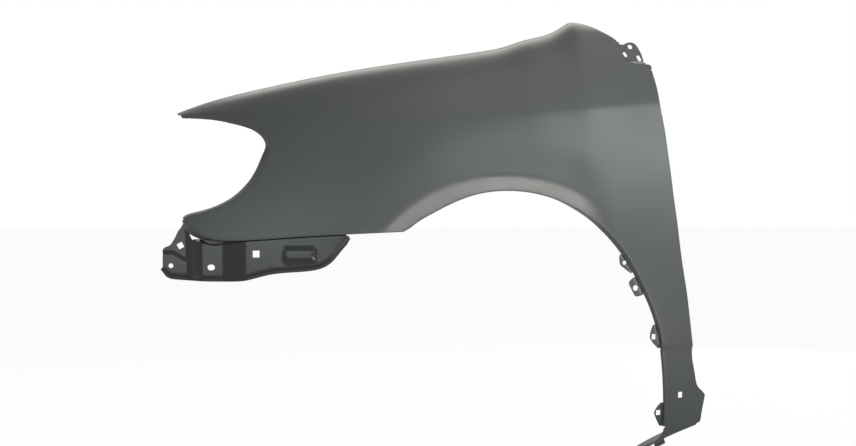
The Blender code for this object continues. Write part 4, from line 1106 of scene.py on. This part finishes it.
def coat(name, colour, tint, roughness, peel, gloss_patches):
    """Electro-dip primer on pressed steel: satin, with fine orange peel and uneven gloss."""
    made = bpy.data.materials.new(name)
    made.use_nodes = True
    tree = made.node_tree
    link = tree.links.new
    shader = tree.nodes["Principled BSDF"]
    shader.inputs["Metallic"].default_value = 0.0
    shader.inputs["IOR"].default_value = COAT_IOR
    place = tree.nodes.new("ShaderNodeTexCoord").outputs["Object"]

    def noise(scale, detail, share, vector=place):
        values = {"Scale": scale, "Detail": detail, "Roughness": share}
        texture = new_node(tree, "ShaderNodeTexNoise", values)
        link(vector, texture.inputs["Vector"])
        return texture.outputs["Fac"]

    # Slow change of colour where the coat is thicker or thinner, with a fine speckle of dust
    cloud = ranged(tree, noise(*CLOUD_NOISE), *CLOUD_RANGE)
    dust = ranged(tree, noise(*DUST_NOISE), *DUST_RANGE)
    mix = tree.nodes.new("ShaderNodeMix")
    mix.data_type = "RGBA"
    mix.inputs["A"].default_value = (*colour, 1.0)
    mix.inputs["B"].default_value = (*tint, 1.0)
    link(combined(tree, "ADD", cloud, dust), mix.inputs["Factor"])
    link(mix.outputs["Result"], shader.inputs["Base Color"])

    # Gloss: broad patches, and short wiping marks along the panel
    stretch = new_node(tree, "ShaderNodeMapping", {"Scale": WIPE_STRETCH})
    link(place, stretch.inputs["Vector"])
    wipe = noise(*WIPE_NOISE, stretch.outputs["Vector"])
    least, most = roughness - gloss_patches, roughness + gloss_patches
    patches = ranged(tree, noise(*GLOSS_NOISE), *GLOSS_FROM, least, most)
    wiped = ranged(tree, wipe, *GLOSS_FROM, -WIPE_GLOSS, WIPE_GLOSS)
    link(combined(tree, "ADD", patches, wiped), shader.inputs["Roughness"])

    # Orange peel of the cured coat
    bump = new_node(tree, "ShaderNodeBump", {"Strength": peel, "Distance": PEEL_HEIGHT})
    link(noise(*PEEL_NOISE), bump.inputs["Height"])
    link(bump.outputs["Normal"], shader.inputs["Normal"])
    return made


def seen_rays(tree):
    """1 for rays by which the background is seen: straight, mirrored or through glass."""
    path = tree.nodes.new("ShaderNodeLightPath").outputs
    seen = combined(tree, "MAXIMUM", path["Is Camera Ray"], path["Is Glossy Ray"])
    return combined(tree, "MAXIMUM", seen, path["Is Transmission Ray"])


def send_mix(tree, share, first, second, output):
    """Sends a mix of two shaders to the output of a material or the world."""
    mix = tree.nodes.new("ShaderNodeMixShader")
    tree.links.new(share, mix.inputs["Fac"])
    tree.links.new(first.outputs[0], mix.inputs[1])
    tree.links.new(second.outputs[0], mix.inputs[2])
    tree.links.new(mix.outputs["Shader"], tree.nodes.new(output).inputs["Surface"])


def floor_paint():
    """A pale matt floor that is nearly white to the camera, and still takes a faint shadow."""
    made = bpy.data.materials.new("studio_floor")
    made.use_nodes = True
    tree = made.node_tree
    tree.nodes.clear()
    paint = new_node(tree, "ShaderNodeBsdfDiffuse", {"Color": FLOOR_COLOUR})
    glow = new_node(tree, "ShaderNodeEmission", {"Color": WHITE, "Strength": 1.0})
    white = new_node(tree, "ShaderNodeValue", {})
    white.outputs["Value"].default_value = FLOOR_WHITE
    share = combined(tree, "MULTIPLY", seen_rays(tree), white.outputs["Value"])
    send_mix(tree, share, paint, glow, "ShaderNodeOutputMaterial")
    return made


def surround():
    """The world: a plain fill for the object, and white where the background is seen."""
    world = bpy.data.worlds.new("surround")
    world.use_nodes = True
    tree = world.node_tree
    tree.nodes.clear()
    values = {"Color": (*SURROUND_COLOUR, 1.0), "Strength": SURROUND_LEVEL}
    fill = new_node(tree, "ShaderNodeBackground", values)
    white = new_node(tree, "ShaderNodeBackground", {"Color": WHITE, "Strength": 1.0})
    send_mix(tree, seen_rays(tree), fill, white, "ShaderNodeOutputWorld")
    return world


def studio(floor_z):
    """Pale floor, white surround, soft lamps and the camera at the photograph's angle."""
    scene = bpy.context.scene
    aim = Vector(AIM)
    ahead = Vector((math.sin(CAMERA_TURN), math.cos(CAMERA_TURN), 0.0))
    right = Vector((math.cos(CAMERA_TURN), -math.sin(CAMERA_TURN), 0.0))

    lens = bpy.data.cameras.new("camera")
    lens.sensor_width = CAMERA_SENSOR
    lens.lens = CAMERA_LENS
    lens.clip_end = FLOOR_SIZE
    camera = bpy.data.objects.new("camera", lens)
    camera.location = aim - ahead * CAMERA_DISTANCE
    camera.rotation_euler = (QUARTER, 0.0, -CAMERA_TURN)
    scene.collection.objects.link(camera)
    scene.camera = camera

    for lamp in LAMPS:
        light = bpy.data.lights.new(lamp.name, "AREA")
        light.shape = "RECTANGLE"
        light.size, light.size_y = lamp.width, lamp.tall
        light.energy = lamp.power
        light.color = lamp.colour
        holder = bpy.data.objects.new(lamp.name, light)
        turn, rise = math.radians(lamp.bearing), math.radians(lamp.height)
        toward = (-ahead * math.cos(turn) + right * math.sin(turn)) * math.cos(rise)
        toward += Vector((0.0, 0.0, math.sin(rise)))
        holder.location = aim + toward * lamp.distance
        back = toward if lamp.aimed else Vector((0.0, 0.0, -1.0))
        holder.rotation_euler = back.to_track_quat("Z", "Y").to_euler()
        scene.collection.objects.link(holder)

    scene.world = surround()

    data = bpy.data.meshes.new("floor")
    half = FLOOR_SIZE / 2
    corners = [(-half, -half), (half, -half), (half, half), (-half, half)]
    data.from_pydata([(x, y, floor_z) for x, y in corners], [], [(0, 1, 2, 3)])
    floor = bpy.data.objects.new("floor", data)
    scene.collection.objects.link(floor)
    floor.data.materials.append(floor_paint())
    floor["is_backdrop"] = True

    scene.view_settings.view_transform = "Standard"


def main():
    """Builds both sheets in place of the solids, then the studio, and measures the bounds of the
    scene.
    """
    low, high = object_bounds()
    seat = hood_pad_point(HOOD_PADS[SEAT_PAD], -HOOD_HOLE_OFFSET)
    seat.z -= SKIN_SHEET

    panel = fender_panel(-seat)
    panel.data.materials.append(coat("e_coat_grey", *GREY_COAT))
    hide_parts("fender_panel")
    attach(panel, "root")

    bracket = bumper_bracket(-seat)
    bracket.data.materials.append(coat("e_coat_black", *BLACK_COAT))
    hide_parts("bumper_side_bracket")
    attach(bracket, "root")

    studio(low.z - FLOOR_GAP)
    low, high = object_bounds()


main()
